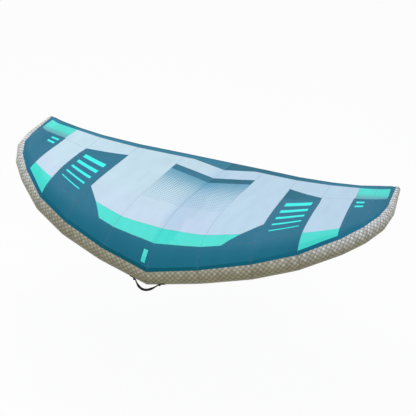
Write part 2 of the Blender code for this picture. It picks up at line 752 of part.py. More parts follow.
def make_valve(edge):
    """A flanged base through the sleeve, a twist-lock insert in it, and a cap hinged on the insert."""
    centre, along, out = tube_facet(0, VALVE_SIDE, VALVE_PLACE_SHARE, -1)
    place = frame_at(centre + out * GAP, along, out)

    hole = add_cutter("valve_hole", cylinder("valve_hole", VALVE_STEM + GAP,
                                             -VALVE_STEM_DEPTH - GAP * 2, OVERRUN, VALVE_STEPS))
    hole.matrix_local = place
    cut(bpy.data.objects["edge_sleeve_left_1"], hole)
    cut(bpy.data.objects["edge_bladder"], hole)

    rise, neck = VALVE_FLANGE_RISE, VALVE_NECK_RISE
    flange = ((0, neck), (VALVE_NECK, neck), (VALVE_NECK, rise), (VALVE_FLANGE - rise / 2, rise),
              (VALVE_FLANGE, rise / 2), (VALVE_FLANGE, -VALVE_SADDLE), (0, -VALVE_SADDLE))
    base = add_turned("valve_base", flange, VALVE_STEPS, (BLACK, 0.45), closed=False, place=place)
    cut(base, edge)
    stem = add_cutter("valve_stem", cylinder("valve_stem", VALVE_STEM, -VALVE_STEM_DEPTH, neck / 2,
                                             VALVE_STEPS))
    stem.matrix_local = place
    cut(base, stem, "UNION")
    bore = add_cutter("valve_bore", cylinder("valve_bore", VALVE_BORE, -VALVE_STEM_DEPTH - OVERRUN,
                                             neck + OVERRUN, VALVE_STEPS))
    bore.matrix_local = place
    cut(base, bore)

    pivot = bpy.data.objects.new("valve_pivot", None)
    PARTS.objects.link(pivot)
    pivot.parent = FRAME
    pivot.matrix_local = place
    low, high = neck + GAP, neck + GAP + INSERT_RIM_HEIGHT
    skirt = VALVE_BORE - GAP
    shape = ((INSERT_BORE, high), (INSERT_RIM - INSERT_WALL / 2, high), (INSERT_RIM, high - INSERT_WALL / 2),
             (INSERT_RIM, low), (skirt, low), (skirt, high - INSERT_DEPTH),
             (skirt - INSERT_WALL, high - INSERT_DEPTH), (skirt - INSERT_WALL, low),
             (INSERT_BORE, low))
    insert = add_turned("valve_insert", shape, VALVE_STEPS, (GREY, 0.4), parent=pivot)
    axis_height = high + GAP + HINGE_RADIUS
    ears = add_cutter("valve_ears", block("valve_ears", (HINGE_RADIUS * 2, HINGE_LENGTH, EAR_HEIGHT * 2),
                                          (HINGE_REACH, 0, high)))
    slot = add_cutter("valve_slot", block("valve_slot", (HINGE_RADIUS * 4, HINGE_SLOT, EAR_HEIGHT * 2),
                                          (HINGE_REACH, 0, high + EAR_HEIGHT)))
    eye = add_cutter("valve_eye", cylinder("valve_eye", PIN_RADIUS + GAP, -HINGE_LENGTH, HINGE_LENGTH, 12))
    across = Matrix.Translation((HINGE_REACH, 0, axis_height)) @ Matrix.Rotation(pi / 2, 4, "X")
    ears.matrix_local = place
    slot.matrix_local = place
    eye.matrix_local = place @ across
    cut(insert, ears, "UNION")
    cut(insert, slot)
    cut(insert, eye)

    hinge = bpy.data.objects.new("cap_pivot", None)
    PARTS.objects.link(hinge)
    hinge.parent = pivot
    hinge.location = (HINGE_REACH, 0, axis_height)
    low, top = high + GAP, high + GAP + CAP_HEIGHT
    plug = INSERT_BORE - GAP
    shape = ((0, top), (CAP_RADIUS - CAP_CHAMFER, top), (CAP_RADIUS, top - CAP_CHAMFER), (CAP_RADIUS, low),
             (plug, low), (plug * PLUG_TAPER_SHARE, low - PLUG_DEPTH), (0, low - PLUG_DEPTH))
    cap = add_turned("valve_cap", shape, VALVE_STEPS, (BLACK, 0.4), closed=False, parent=hinge,
                     place=Matrix.Translation((-HINGE_REACH, 0, -axis_height)))
    side = HINGE_SLOT / 2 - GAP
    tongue = add_cutter("cap_tongue", loft("cap_tongue", [tongue_ring(y, axis_height) for y in (-side, side)]))
    tongue.matrix_local = place
    pin = add_cutter("cap_pin", cylinder("cap_pin", PIN_RADIUS, -HINGE_LENGTH / 2, HINGE_LENGTH / 2, 12))
    pin.matrix_local = place @ across
    for piece in (tongue, pin):
        cut(cap, piece, "UNION")


# Air hose

def strut_facet(k, share, first=1):
    """Centre and frame of facet k of a strut panel, part of the way along it."""
    stations = strut_stations()
    a, b = strut_ring(stations[first]), strut_ring(stations[first + 1])
    n = (k + 1) % TUBE_SIDES
    low, high = a[k].lerp(b[k], share), a[n].lerp(b[n], share)
    centre = (low + high) / 2
    along = ((b[k] + b[n]) - (a[k] + a[n])).normalized()
    out = along.cross(high - low).normalized()
    if out.dot(centre - stations[first][0].lerp(stations[first + 1][0], share)) < 0:
        out = -out
    return centre, along, out


def make_fitting(name, place, seat, skins):
    """A flanged barb that carries one end of the hose, with an air passage through it into the bladder."""
    barb = (HOSE_RADIUS - HOSE_WALL) * cos(pi / ROUND_SIDES) - GAP
    shape = ((0, FITTING_BARB_RISE), (barb, FITTING_BARB_RISE), (barb, FITTING_COLLAR_RISE),
             (FITTING_COLLAR, FITTING_COLLAR_RISE), (FITTING_COLLAR, FITTING_RISE),
             (FITTING_FLANGE, FITTING_RISE), (FITTING_FLANGE, -FITTING_SADDLE), (0, -FITTING_SADDLE))
    obj = add_turned(name, shape, FITTING_STEPS, (BLACK, 0.45), closed=False, place=place)
    cut(obj, seat)
    bore = add_cutter(f"{name}_bore", cylinder(f"{name}_bore", FITTING_BORE, -FITTING_FLANGE,
                                               FITTING_BARB_RISE + OVERRUN, ROUND_SIDES))
    bore.matrix_local = place
    for piece in (obj, *skins):
        cut(piece, bore)


def smooth_route(start, start_way, end, end_way, count):
    """Points on one smooth curve between two ends that leave in given directions."""
    reach = (end - start).length * HOSE_EASE_SHARE
    a, b, c, d = start, start + start_way * reach, end + end_way * reach, end
    points = []
    for k in range(count + 1):
        t = k / count
        u = 1 - t
        points.append(a * u ** 3 + b * 3 * u * u * t + c * 3 * u * t * t + d * t ** 3)
    return points


def make_hose(edge, strut):
    centre, along, out = tube_facet(0, HOSE_SIDE, facet_share(0, HOSE_SIDE, HOSE_SPAN), 1)
    pieces = bpy.data.objects
    make_fitting("hose_fitting_edge", frame_at(centre + out * GAP, along, out), edge,
                 (pieces["edge_sleeve_right_1"], pieces["edge_bladder"]))
    far, far_along, far_out = strut_facet(STRUT_HOSE_SIDE, STRUT_HOSE_SHARE)
    make_fitting("hose_fitting_strut", frame_at(far + far_out * GAP, far_along, far_out), strut,
                 (pieces["strut_sleeve"], pieces["strut_bladder"]))

    rise = FITTING_COLLAR_RISE + GAP * 2
    start, end = centre + out * rise, far + far_out * rise
    lead = HOSE_RADIUS * 2
    first, last = start + out * lead, end + far_out * lead
    way = (last - first).normalized()
    middle = (first + last) / 2 + (out + far_out).normalized() * HOSE_SAG
    half = CLIP_LENGTH / 2 + HOSE_RADIUS
    points = [start]
    points += smooth_route(first, out, middle - way * half, -way, HOSE_STEPS)
    points += smooth_route(middle + way * half, way, last, far_out, HOSE_STEPS)
    points.append(end)
    hose = curve("air_hose", points, HOSE_RADIUS, (GREY, 0.4), caps=False)
    thicken(hose, HOSE_WALL)

    down = (Vector((0, 0, -1)) + way * way.z).normalized()
    place = Matrix((way.cross(down), way, down)).transposed().to_4x4()
    place.translation = middle
    make_clip(place)


def make_clip(place):
    """A pinch clip on the hose: a body with a slot, and a lever on a pin across the slot."""
    floor = HOSE_RADIUS + CLIP_FLOOR
    top = floor + CLIP_SLOT_DEPTH
    body = add("hose_clip_body", block("hose_clip_body", (CLIP_WIDTH, CLIP_LENGTH, floor + top),
                                       (0, 0, (top - floor) / 2), CLIP_CORNER), (BLACK, 0.45))
    body.matrix_local = place
    lie = Matrix.Rotation(pi / 2, 4, "X")
    bore = add_cutter("clip_bore", cylinder("clip_bore", HOSE_RADIUS + GAP, -CLIP_LENGTH, CLIP_LENGTH))
    bore.matrix_local = place @ lie
    slot = add_cutter("clip_slot", block("clip_slot", (CLIP_SLOT, CLIP_LENGTH + OVERRUN, CLIP_SLOT_DEPTH * 2),
                                         (0, 0, floor + CLIP_SLOT_DEPTH)))
    slot.matrix_local = place
    pin_y = -CLIP_LENGTH / 2 + CLIP_PIN_INSET
    pin_z = floor + GAP + LEVER_THICKNESS / 2
    across = Matrix.Translation((0, pin_y, pin_z)) @ Matrix.Rotation(pi / 2, 4, "Y")
    eye = add_cutter("clip_eye", cylinder("clip_eye", CLIP_PIN + GAP, -CLIP_WIDTH, CLIP_WIDTH, 12))
    eye.matrix_local = place @ across
    cut(body, bore)
    cut(body, slot)
    cut(body, eye)

    pivot = bpy.data.objects.new("lever_pivot", None)
    PARTS.objects.link(pivot)
    pivot.parent = FRAME
    pivot.matrix_local = place @ Matrix.Translation((0, pin_y, pin_z))
    width = CLIP_SLOT - GAP * 2
    lever = add("hose_clip_lever", block("hose_clip_lever", (width, LEVER_LENGTH, LEVER_THICKNESS),
                                         (0, LEVER_LENGTH / 2, 0)), (GREY, 0.4), parent=pivot)
    lie = place @ across
    barrel = add_cutter("lever_barrel", cylinder("lever_barrel", LEVER_THICKNESS / 2, -width / 2,
                                                 width / 2, 16))
    pin = add_cutter("lever_pin", cylinder("lever_pin", CLIP_PIN, -CLIP_WIDTH / 2, CLIP_WIDTH / 2, 12))
    barrel.matrix_local = lie
    pin.matrix_local = lie
    cut(lever, barrel, "UNION")
    cut(lever, pin, "UNION")


def hang_by_front_handle():
    """Moves the wing so that the middle of the front handle's grip is the origin."""
    frame = handle_frame(FRONT_HANDLE_PLACE, FRONT_HANDLE_LENGTH)
    FRAME.location = -(frame @ Vector((0, 0, BAR_DROP)))
    bpy.context.view_layer.update()


def main():
    edge = edge_cutter("edge_cutter")
    make_sleeve()
    make_edge_bladder()
    make_tip_caps()
    make_gores()
    make_trim("seam_band", lambda i: 0, lambda i: strip_share(i, BAND_WIDTH, TRIM_GAP))
    make_trim("trailing_hem", lambda i: 1 - strip_share(i, HEM_WIDTH, TRIM_GAP), lambda i: 1)
    make_strut(edge)
    strut = strut_cutter("strut_cutter")
    for label, place, length in HANDLES:
        make_handle(label, place, length, strut)
    make_nose_handle(edge)
    make_valve(edge)
    make_hose(edge, strut)
    hang_by_front_handle()


main()
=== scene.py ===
# %% [markdown]
# # An inflatable wing for wing foiling
# The real wing is a front tube and a centre strut, pumped hard, with cloth stretched behind them. The
# packed model is the frame. Its hard pieces only get finished materials. Its soft pieces are plain solids,
# so continuous cloth, webbing and foam take their place here.

# %% Load the frame
from math import atan2, cos, pi, radians, sin, sqrt

import bmesh
import bpy
from mathutils import Matrix, Vector


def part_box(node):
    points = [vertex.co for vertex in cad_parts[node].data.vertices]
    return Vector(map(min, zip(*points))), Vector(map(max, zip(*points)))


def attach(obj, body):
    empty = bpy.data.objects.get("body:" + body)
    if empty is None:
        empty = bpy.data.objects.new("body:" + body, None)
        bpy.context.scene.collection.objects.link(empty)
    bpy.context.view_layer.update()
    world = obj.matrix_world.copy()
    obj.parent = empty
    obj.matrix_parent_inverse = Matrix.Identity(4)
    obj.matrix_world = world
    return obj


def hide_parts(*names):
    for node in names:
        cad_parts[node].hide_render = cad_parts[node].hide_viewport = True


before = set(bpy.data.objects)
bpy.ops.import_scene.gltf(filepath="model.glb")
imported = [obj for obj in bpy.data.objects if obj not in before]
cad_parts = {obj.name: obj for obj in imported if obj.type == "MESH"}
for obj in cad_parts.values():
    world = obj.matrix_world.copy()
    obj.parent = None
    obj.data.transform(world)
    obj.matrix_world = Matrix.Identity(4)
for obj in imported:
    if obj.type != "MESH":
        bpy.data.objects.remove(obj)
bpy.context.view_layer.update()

# %% [markdown]
# ## The wing's form
# The real wing is sewn from flat panels, cut so that they close to a curved form under pressure. It could
# be sculpted by eye, but tables of shares of a few real lengths are easy to check and change. All but the
# last, the cloth's height along its chord, have one value for each mitre of the right half, from nose to
# tip, and the left half mirrors it. Lengths are in metres from the nose seam, and NOSE is where that seam
# lies in the frame.

# %% Dimensions of the wing
NOSE = Vector((0, -0.66294, 0.00915))
HALF_SPAN, CENTRE_LENGTH, TIP_SWEEP, TIP_RISE = 1.600, 2.222, 1.642, 0.291
CAMBER, SEAM_BOW, TUBE_RADIUS, CLOTH_LIFT = 0.240, 0.042, 0.093, 0.0011
SPAN_SHARES = (0, 0.245, 0.478, 0.671, 0.836, 0.921, 0.974, 0.995, 1)
SWEEP_SHARES = (0, 0.029, 0.106, 0.219, 0.389, 0.505, 0.629, 0.758, 1)
RISE_SHARES = (0, 0.309, 0.570, 0.763, 0.942, 1.058, 1.089, 1.031, 1)
RADIUS_SHARES = (1, 0.99, 1, 1, 0.97, 0.89, 0.75, 0.52, 0.31)
SEAM_ANGLES = (145, 141, 133, 129, 119, 107, 92, 71, 74)
TRAIL_SPAN_SHARES = (0, 0.240, 0.467, 0.665, 0.818, 0.910, 0.943, 0.968, 0.983)
CHORD_SHARES = (1, 0.8766, 0.7047, 0.5582, 0.4395, 0.3328, 0.2532, 0.1679, -0.006)
TRAIL_RISE_SHARES = (-0.399, 0.017, 0.474, 0.780, 0.842, 1.027, 1.015, 1.005, 1)
CAMBER_SHARES = (1, 0.69, 0.49, 0.40, 0.17, 0.06, 0.02, 0, 0)
BOW_SHARES = (0, 1, 0.60, 0.48, 0.20, 0, 0, 0, 0)
PROFILE_SHARES = ((0, 0), (0.02, 0.28), (0.045, 0.53), (0.07, 0.70), (0.105, 0.84), (0.142, 0.92),
                  (0.20, 0.98), (0.29, 1), (0.42, 0.89), (0.55, 0.70), (0.66, 0.53), (0.75, 0.39),
                  (0.84, 0.25), (0.92, 0.125), (1, 0))
TIP = len(SPAN_SHARES) - 1
print("mitres on each side", TIP, "span", 2 * HALF_SPAN, "m")

# %% Places along the front tube


def seam_point(i):
    """Where the cloth leaves the tube at mitre i, on the right half."""
    return Vector((HALF_SPAN * SPAN_SHARES[i], TIP_SWEEP * SWEEP_SHARES[i], TIP_RISE * RISE_SHARES[i]))


def tube_axes(i):
    """Along the tube, backwards and upwards in the plane of mitre i."""
    along = Vector((1, 0, 0))
    if i:
        along = (seam_point(i) - seam_point(i - 1)).normalized()
        if i < TIP:
            along = (along + (seam_point(i + 1) - seam_point(i)).normalized()).normalized()
    up = (Vector((0, 0, 1)) - along * along.z).normalized()
    return along, up.cross(along), up


def radial(i, angle):
    back, up = tube_axes(i)[1:]
    return back * cos(radians(angle)) + up * sin(radians(angle))


def tube_centre(i):
    return seam_point(i) - radial(i, SEAM_ANGLES[i]) * TUBE_RADIUS * RADIUS_SHARES[i]


print("nose tube centre", tuple(round(v, 3) for v in tube_centre(0) + NOSE))

# %% The cloth's surface


def ease(low, high, x):
    """0 at low, 1 at high, smooth between them. low may be the greater."""
    t = min(max((x - low) / (high - low), 0), 1)
    return t * t * (3 - 2 * t)


def profile(c):
    """Height of the cloth over its chord, as a smooth curve through the table."""
    table = PROFILE_SHARES
    k = next((n for n in range(len(table) - 1) if c <= table[n + 1][0]), len(table) - 2)

    def slope(n):
        a, b = max(n - 1, 0), min(n + 1, len(table) - 1)
        return (table[b][1] - table[a][1]) / (table[b][0] - table[a][0])
    (c0, h0), (c1, h1) = table[k], table[k + 1]
    step = c1 - c0
    t = (c - c0) / step
    return (h0 * (2 * t ** 3 - 3 * t * t + 1) + slope(k) * step * (t ** 3 - 2 * t * t + t)
            + h1 * (3 * t * t - 2 * t ** 3) + slope(k + 1) * step * (t ** 3 - t * t))


def seam_curve(k, c):
    """Cloth on seam k, from -8 at the left tip to 8 at the right one, at a share of its chord."""
    i, side = min(abs(k), TIP), 1 if k >= 0 else -1
    front = seam_point(i) + radial(i, SEAM_ANGLES[i]) * CLOTH_LIFT
    trail = Vector((HALF_SPAN * TRAIL_SPAN_SHARES[i], seam_point(i).y + CENTRE_LENGTH * CHORD_SHARES[i],
                    TIP_RISE * TRAIL_RISE_SHARES[i]))
    p = front.lerp(trail, c)
    p.z += CAMBER * CAMBER_SHARES[i] * profile(c)
    p.x = (p.x - SEAM_BOW * BOW_SHARES[i] * sin(pi * sqrt(max(c, 0)))) * side
    return p


def cloth(s, c):
    """The canopy's surface at s seams from the centre and a share c of the chord."""
    k = min(max(int(s // 1), -TIP), TIP - 1)
    t = s - k
    b, d = seam_curve(k, c), seam_curve(k + 1, c)
    flat = b.lerp(d, t)
    round_share = (ease(0.02, 0.16, c) * ease(1, 0.86, c) * ease(0.1, 0.8, abs(s)) * ease(6, 5, abs(s)))
    if round_share <= 0:
        return flat
    a, e = seam_curve(k - 1, c), seam_curve(k + 2, c)
    curved = (b * 2 + (d - a) * t + (a * 2 - b * 5 + d * 4 - e) * t * t
              + (b * 3 - a - d * 3 + e) * t ** 3) / 2
    return flat.lerp(curved, round_share)


def cloth_normal(s, c):
    e = 0.004
    u = cloth(s + e, c) - cloth(s - e, c)
    v = cloth(s, min(c + e, 1)) - cloth(s, max(c - e, 0))
    return u.cross(v).normalized()


print("canopy tail", tuple(round(v, 3) for v in cloth(0, 1) + NOSE))

# %% [markdown]
# ## Camera
# The photograph was taken from in front, above and to the right. A camera could be placed by eye, but one
# fitted to the panel corners gives place, turn and lens at once, so that the render can be laid over the
# photograph. The fit measures the lens in pixels of the frame.

# %% Camera
CAMERA_PLACE = Vector((2.2559, -5.9405, 4.2377))
CAMERA_TURN, CAMERA_HEIGHT, CAMERA_ROLL = radians(16.862), radians(29.867), radians(3.834)
FOCAL_PIXELS, FRAME_PIXELS, SENSOR, SIGHT = 1000, 416, 36, 60

back = Vector((sin(CAMERA_TURN) * cos(CAMERA_HEIGHT), -cos(CAMERA_TURN) * cos(CAMERA_HEIGHT),
               sin(CAMERA_HEIGHT)))
level = Vector((cos(CAMERA_TURN), sin(CAMERA_TURN), 0))
right = level * cos(CAMERA_ROLL) + back.cross(level) * sin(CAMERA_ROLL)
camera_data = bpy.data.cameras.new("camera")
camera_data.lens = FOCAL_PIXELS / FRAME_PIXELS * SENSOR
camera_data.sensor_width = SENSOR
camera_data.clip_end = SIGHT
camera = bpy.data.objects.new("camera", camera_data)
bpy.context.scene.collection.objects.link(camera)
camera.matrix_world = Matrix((right, back.cross(right), back)).transposed().to_4x4()
camera.location = CAMERA_PLACE + NOSE
bpy.context.scene.camera = camera
print("camera lens", round(camera_data.lens, 1), "mm")

# %% [markdown]
# ## Materials
# Blender's materials are nodes joined by links. Making and linking each by hand is long to write and hard
# to read, so Wire wraps a node's output and lets sums read as sums, and Look makes one material's nodes.
# What is the same all over a surface is set on the shader itself, and only what varies is linked, because
# an exported model keeps no more than that.

# %% Sums of node outputs


class Wire:
    """A node's output that can be added, multiplied and compared."""

    def __init__(self, look, socket):
        self.look, self.socket = look, socket

    def math(self, operation, a, b=0.0):
        return self.look.node("Math", {"operation": operation}, {0: a, 1: b})

    def __add__(self, other):
        return self.math("ADD", self, other)

    def __sub__(self, other):
        return self.math("SUBTRACT", self, other)

    def __rsub__(self, other):
        return self.math("SUBTRACT", other, self)

    def __mul__(self, other):
        return self.math("MULTIPLY", self, other)

    def __truediv__(self, other):
        return self.math("DIVIDE", self, other)

    __radd__ = __add__

    def fract(self):
        return self.math("FRACT", self)

    def floor(self):
        return self.math("FLOOR", self)

    def size(self):
        return self.math("ABSOLUTE", self)

    def most(self, other):
        return self.math("MAXIMUM", self, other)

    def root(self):
        return self.math("SQRT", self)

    def wave(self):
        return self.math("SINE", self)

    def repeat(self, pitch):
        """How far from the middle of each repeat, from 0 to 0.5 of a pitch."""
        return ((self / pitch).fract() - 0.5).size()

    def band(self, low, high):
        """0 below low, 1 above high, smooth between them. low may be the greater."""
        return self.look.node("MapRange", {"interpolation_type": "SMOOTHSTEP"},
                              {0: self, 1: low, 2: high, 3: 0.0, 4: 1.0})


print("a wire can", [name for name in vars(Wire) if name[0] != "_"])

# %% One material's nodes


class Look:
    """One material: a principled shader and the nodes that feed it."""

    def __init__(self, name, roughness, metallic=0.0, **fixed):
        self.material = bpy.data.materials.new(name)
        self.material.use_nodes = True
        self.tree = self.material.node_tree
        self.shader = self.tree.nodes["Principled BSDF"]
        self.shader.inputs["Roughness"].default_value = roughness
        self.shader.inputs["Metallic"].default_value = metallic
        for key, value in fixed.items():
            self.shader.inputs[key.replace("_", " ")].default_value = value

    def node(self, kind, settings, inputs, output=0):
        made = self.tree.nodes.new("ShaderNode" + kind)
        for key, value in settings.items():
            setattr(made, key, value)
        for key, value in inputs.items():
            self.feed(made.inputs[key], value)
        return Wire(self, made.outputs[output])

    def feed(self, socket, value):
        if isinstance(value, Wire):
            self.tree.links.new(value.socket, socket)
        elif isinstance(value, tuple) and len(value) == 3 and socket.type == "RGBA":
            socket.default_value = (*value, 1)
        else:
            socket.default_value = value

    def place(self):
        """The object's own coordinates, in metres."""
        return self.node("TexCoord", {}, {}, "Object")

    def part(self, vector, axis):
        return self.node("SeparateXYZ", {}, {0: vector}, axis)

    def laid(self):
        """The two coordinates laid down on the surface."""
        whole = self.node("UVMap", {}, {})
        return self.part(whole, "X"), self.part(whole, "Y")

    def noise(self, where, scale, detail):
        return self.node("TexNoise", {}, {"Vector": where, "Scale": scale, "Detail": detail})

    def stretched(self, where, scales):
        return self.node("Mapping", {}, {0: where, 3: scales})

    def mix(self, share, a, b):
        return self.node("Mix", {"data_type": "RGBA"}, {0: share, 6: a, 7: b}, 2)

    def dim(self, colour, by):
        return self.node("Mix", {"data_type": "RGBA", "blend_type": "MULTIPLY"},
                         {0: 1.0, 6: colour, 7: by}, 2)

    def eye(self):
        """1 for what the eye sees, straight, mirrored or through glass."""
        kinds = ("Camera", "Glossy", "Transmission")
        return sum(self.node("LightPath", {}, {}, f"Is {kind} Ray") for kind in kinds)

    def finish(self, colour, height=None, bump=0.001, roughness=None):
        """Links what varies: the colour, a height for the bump, and the roughness."""
        self.feed(self.shader.inputs["Base Color"], colour)
        if height is not None:
            bumped = self.node("Bump", {}, {"Strength": 1.0, "Distance": bump, "Height": height})
            self.feed(self.shader.inputs["Normal"], bumped)
        if roughness is not None:
            self.feed(self.shader.inputs["Roughness"], roughness)
        return self.material


print("a look can", [name for name in vars(Look) if name[0] != "_"])

# %% Colours


def srgb(r, g, b):
    """A colour written as a screen shows it, from 0 to 255."""
    return tuple(v / 3294.6 if v <= 10 else ((v / 255 + 0.055) / 1.055) ** 2.4 for v in (r, g, b))


def shade(colour, by):
    return tuple(min(v * by, 1) for v in colour)


TURQUOISE, BRIGHT = srgb(73, 223, 210), srgb(72, 248, 238)
# The left half's pale is painted lighter and greener, as painted light.
PALE, PALE_LEFT_LIT, PALE_FRONT = srgb(186, 213, 233), srgb(195, 221, 234), srgb(197, 210, 235)
# The dark cloth's front colour is painted shade, for cloth that faces forward by the tube.
DEEP, DEEP_SHADED_FRONT, DEEP_TRAIL = srgb(52, 117, 143), srgb(30, 108, 131), srgb(54, 126, 151)
TAPE, TAPE_NOSE, TAPE_END = srgb(12, 98, 121), srgb(8, 90, 106), srgb(42, 116, 152)
# STRUT_SHADOW is a painted shadow of the strut, seen through the pale cloth.
DOTS, STRUT_SHADOW = srgb(80, 154, 184), srgb(176, 213, 243)
FADE_FRONT, FADE_BACK = srgb(108, 176, 184), srgb(90, 224, 212)
print("turquoise as light", tuple(round(v, 3) for v in TURQUOISE))

# %% [markdown]
# ### Canopy cloth
# Ripstop is thin cloth with a square grid of thicker threads, and stretched over a wing it shows long,
# shallow creases. A picture of cloth would blur close up, so grid, creases and a fine grain come from nodes
# that work in metres and drive colour, bump and roughness together. Each cloth of the canopy brings its own
# paint: a function of s, which counts the seams from the centre, and c, the share of the chord.

# %% Ripstop
RIPSTOP_PITCH = 0.006


def ripstop(name, paint, opacity=1.0, roughness=0.48):
    look = Look(name, roughness, Specular_IOR_Level=0.04, Alpha=opacity)
    whole = look.place()
    s, c = look.laid()
    grid = (look.part(whole, "X").repeat(RIPSTOP_PITCH).band(0.40, 0.5)
            ).most(look.part(whole, "Y").repeat(RIPSTOP_PITCH).band(0.40, 0.5))
    crease = look.noise(look.stretched(whole, (5.0, 1.1, 3.0)), 2.2, 3.0)
    fine = look.noise(whole, 260.0, 2.0)
    # Crease hollows are painted darker and crests lighter, as painted shade and light. The grid threads are
    # a little darker.
    dark = look.dim(paint(look, s, c), (crease - 0.5) * 0.16 + 1.0 - grid * 0.08)
    height = grid * 0.10 + fine * 0.06 + crease * 2.4
    return look.finish(dark, height, 0.0012, roughness + (fine - 0.5) * 0.12)


print("ripstop squares", RIPSTOP_PITCH, "m wide")

# %% Plain, pale and dark paints


def plain(colour):
    return lambda look, s, c: colour


def pale(look, s, c):
    """Pale cloth, more lilac in front, with painted light: lighter and greener on the left. A bluish band
    over the strut is its painted shadow.
    """
    half = look.mix(s.band(-0.3, 0.3), PALE_LEFT_LIT, PALE)
    front = look.mix(c.band(0.50, 0.15) * s.band(1.3, 0.8) * 0.45, half, PALE_FRONT)
    return look.mix((s - 0.03).size().band(0.24, 0.19) * c.band(0.10, 0.25) * 0.25, front, STRUT_SHADOW)


def deep(look, s, c):
    """Dark cloth, deeper near the front tube as painted shade where it faces forward, and deeper right of
    the centre seam at the trailing edge.
    """
    front = look.mix(c.band(0.0, 0.16), DEEP_SHADED_FRONT, DEEP)
    back = look.mix(c.band(0.80, 0.90), front, DEEP_TRAIL)
    return look.mix(s.band(-0.02, 0.02) * s.band(4.0, 1.0) * c.band(0.62, 0.66) * 0.8, back, TAPE)


def tape(look, s, c):
    """Reinforcing tape along the tube, greener at the nose and bluer towards the tips."""
    middle = look.mix(s.size().band(0.5, 2.5), TAPE_NOSE, TAPE)
    return look.mix(s.size().band(2.0, 5.5), middle, TAPE_END)


print("paints", [paint.__name__ for paint in (pale, deep, tape)])

# %% Printed paints
# Dots lie 21 mm apart on a panel 0.385 m wide, in rows 41 mm apart along a chord of 2.2 m
DOT_FRONT, DOT_REAR = (0.316, 0.345), (0.655, 0.755)
DOT_PITCH, DOT_ROW_PITCH, DOT_SLANT = 0.021 / 0.385, 0.041 / 2.2, 0.06


def dotted(look, s, c):
    """Pale cloth with a print of dots that grow until they merge at the dark band."""
    along = s.size()
    u = s.repeat(DOT_PITCH)
    v = (c - along * DOT_SLANT).repeat(DOT_ROW_PITCH)
    front = along * (DOT_FRONT[1] - DOT_FRONT[0]) + DOT_FRONT[0]
    rear = along * (DOT_REAR[1] - DOT_REAR[0]) + DOT_REAR[0]
    growth = (c - front) / (rear - front)
    radius = growth * growth * 0.34 + growth * 0.10 + 0.24
    dot = ((u * u + v * v).root() - radius).band(0.06, -0.06) * growth.band(-0.005, 0.03)
    return look.mix(dot * (growth * 0.45 + 0.5), pale(look, s, c), DOTS)


def faded(look, s, c):
    """Turquoise cloth that greys towards its front edge, at the tips."""
    t = s.size() - 4
    edge = 0.70 - t * 0.033 - t * t * 0.0235
    return look.mix(((c - edge) / (0.15 + t * 0.015)).band(0.0, 1.0), FADE_FRONT, FADE_BACK)


CLOTHS = {
    "cloth_tape": ripstop("cloth_tape", tape),
    "cloth_deep": ripstop("cloth_deep", deep),
    "cloth_pale": ripstop("cloth_pale", pale, 0.96),
    "cloth_turquoise": ripstop("cloth_turquoise", plain(TURQUOISE), 0.97),
    "cloth_dotted": ripstop("cloth_dotted", dotted, 0.96),
    "cloth_faded": ripstop("cloth_faded", faded),
    "cloth_bright": ripstop("cloth_bright", plain(BRIGHT)),
}
print("cloths", len(CLOTHS))

# %% [markdown]
# ## Canopy
# The real canopy's colour blocks are panels sewn edge to edge. Painting them through a texture would blur
# their edges, so the sheet itself is cut along them, and each face gets the cloth of its block. This is
# done on a flat sheet, where a block is a simple outline in s and c. Then each point is set in its flying
# shape, so the whole canopy stays one surface.

# %% Colour blocks, right half, painted in this order
HEM = 0.945
BLOCKS = [
    ("cloth_pale", [(0, .147), (1, .147), (1.65, .172), (2, .275), (2, .795), (3, .69), (3, HEM),
                    (0, HEM)]),
    ("cloth_turquoise", [(0, .073), (1, .077), (1.375, .084), (1.65, .172), (1, .147), (0, .147)]),
    ("cloth_turquoise", [(3.0, .014), (3.92, .034), (3.90, .125), (3.0, .148)]),
    ("cloth_pale", [(3.0, .148), (3.90, .125), (3.92, .32), (3.935, .55), (3.96, .70), (4, .70), (4, HEM),
                    (3, HEM), (3, .69), (3.03, .60), (3.02, .30)]),
    ("cloth_deep", [(0, .872), (.78, HEM), (0, HEM)]),
    ("cloth_dotted", [(0, DOT_FRONT[0]), (1, DOT_FRONT[1]), (1, DOT_REAR[1]), (0, DOT_REAR[0])]),
    ("cloth_deep", [(0, DOT_REAR[0]), (1, DOT_REAR[1]), (1, .825), (0, .728)]),
    ("cloth_faded", [(4, .70), (5, .6435), (5.5, .60), (6, .548), (6.5, .474), (6.85, .430), (7.0, .55),
                     (7.15, .70), (7.3, .80), (7, .87), (6, .895), (5, .915), (4, HEM)]),
    ("cloth_tape", [(0, 0), (8, 0), (8, .09), (7, .070), (6, .046), (5, .035), (4, .0266), (3, .017),
                    (2, .0115), (1, .0085), (0, .0075)]),
]
print("blocks", len(BLOCKS))

# %% Plain stripes in the dark panels and at the tips, and a bar beside the nose
STRIPES = ((0.200, 0.010), (0.262, 0.018), (0.335, 0.028), (0.420, 0.040), (0.520, 0.052))
TIP_STRIPE_FRONTS, TIP_STRIPE_WIDTH = (0.50, 0.59), 0.038


def stripe(start, end, front, slant, width):
    """A slanted stripe from seam place start to end. Its sides run along the chord."""
    return [(start, front), (end, front + slant), (end, front + slant + width), (start, front + width)]


for front, width in STRIPES:
    BLOCKS.append(("cloth_bright", stripe(2.18, 2.84, front, 0.030, width)))
for front in TIP_STRIPE_FRONTS:
    BLOCKS.append(("cloth_bright", stripe(4.12, 4.52, front, -0.02, TIP_STRIPE_WIDTH)))
NOSE_BAR = stripe(-0.175, -0.08, 0.014, 0, 0.032)
print("blocks with stripes", len(BLOCKS))

# %% Helpers for meshes


def new_object(name, data):
    obj = bpy.data.objects.new(name, data)
    bpy.context.scene.collection.objects.link(obj)
    return obj


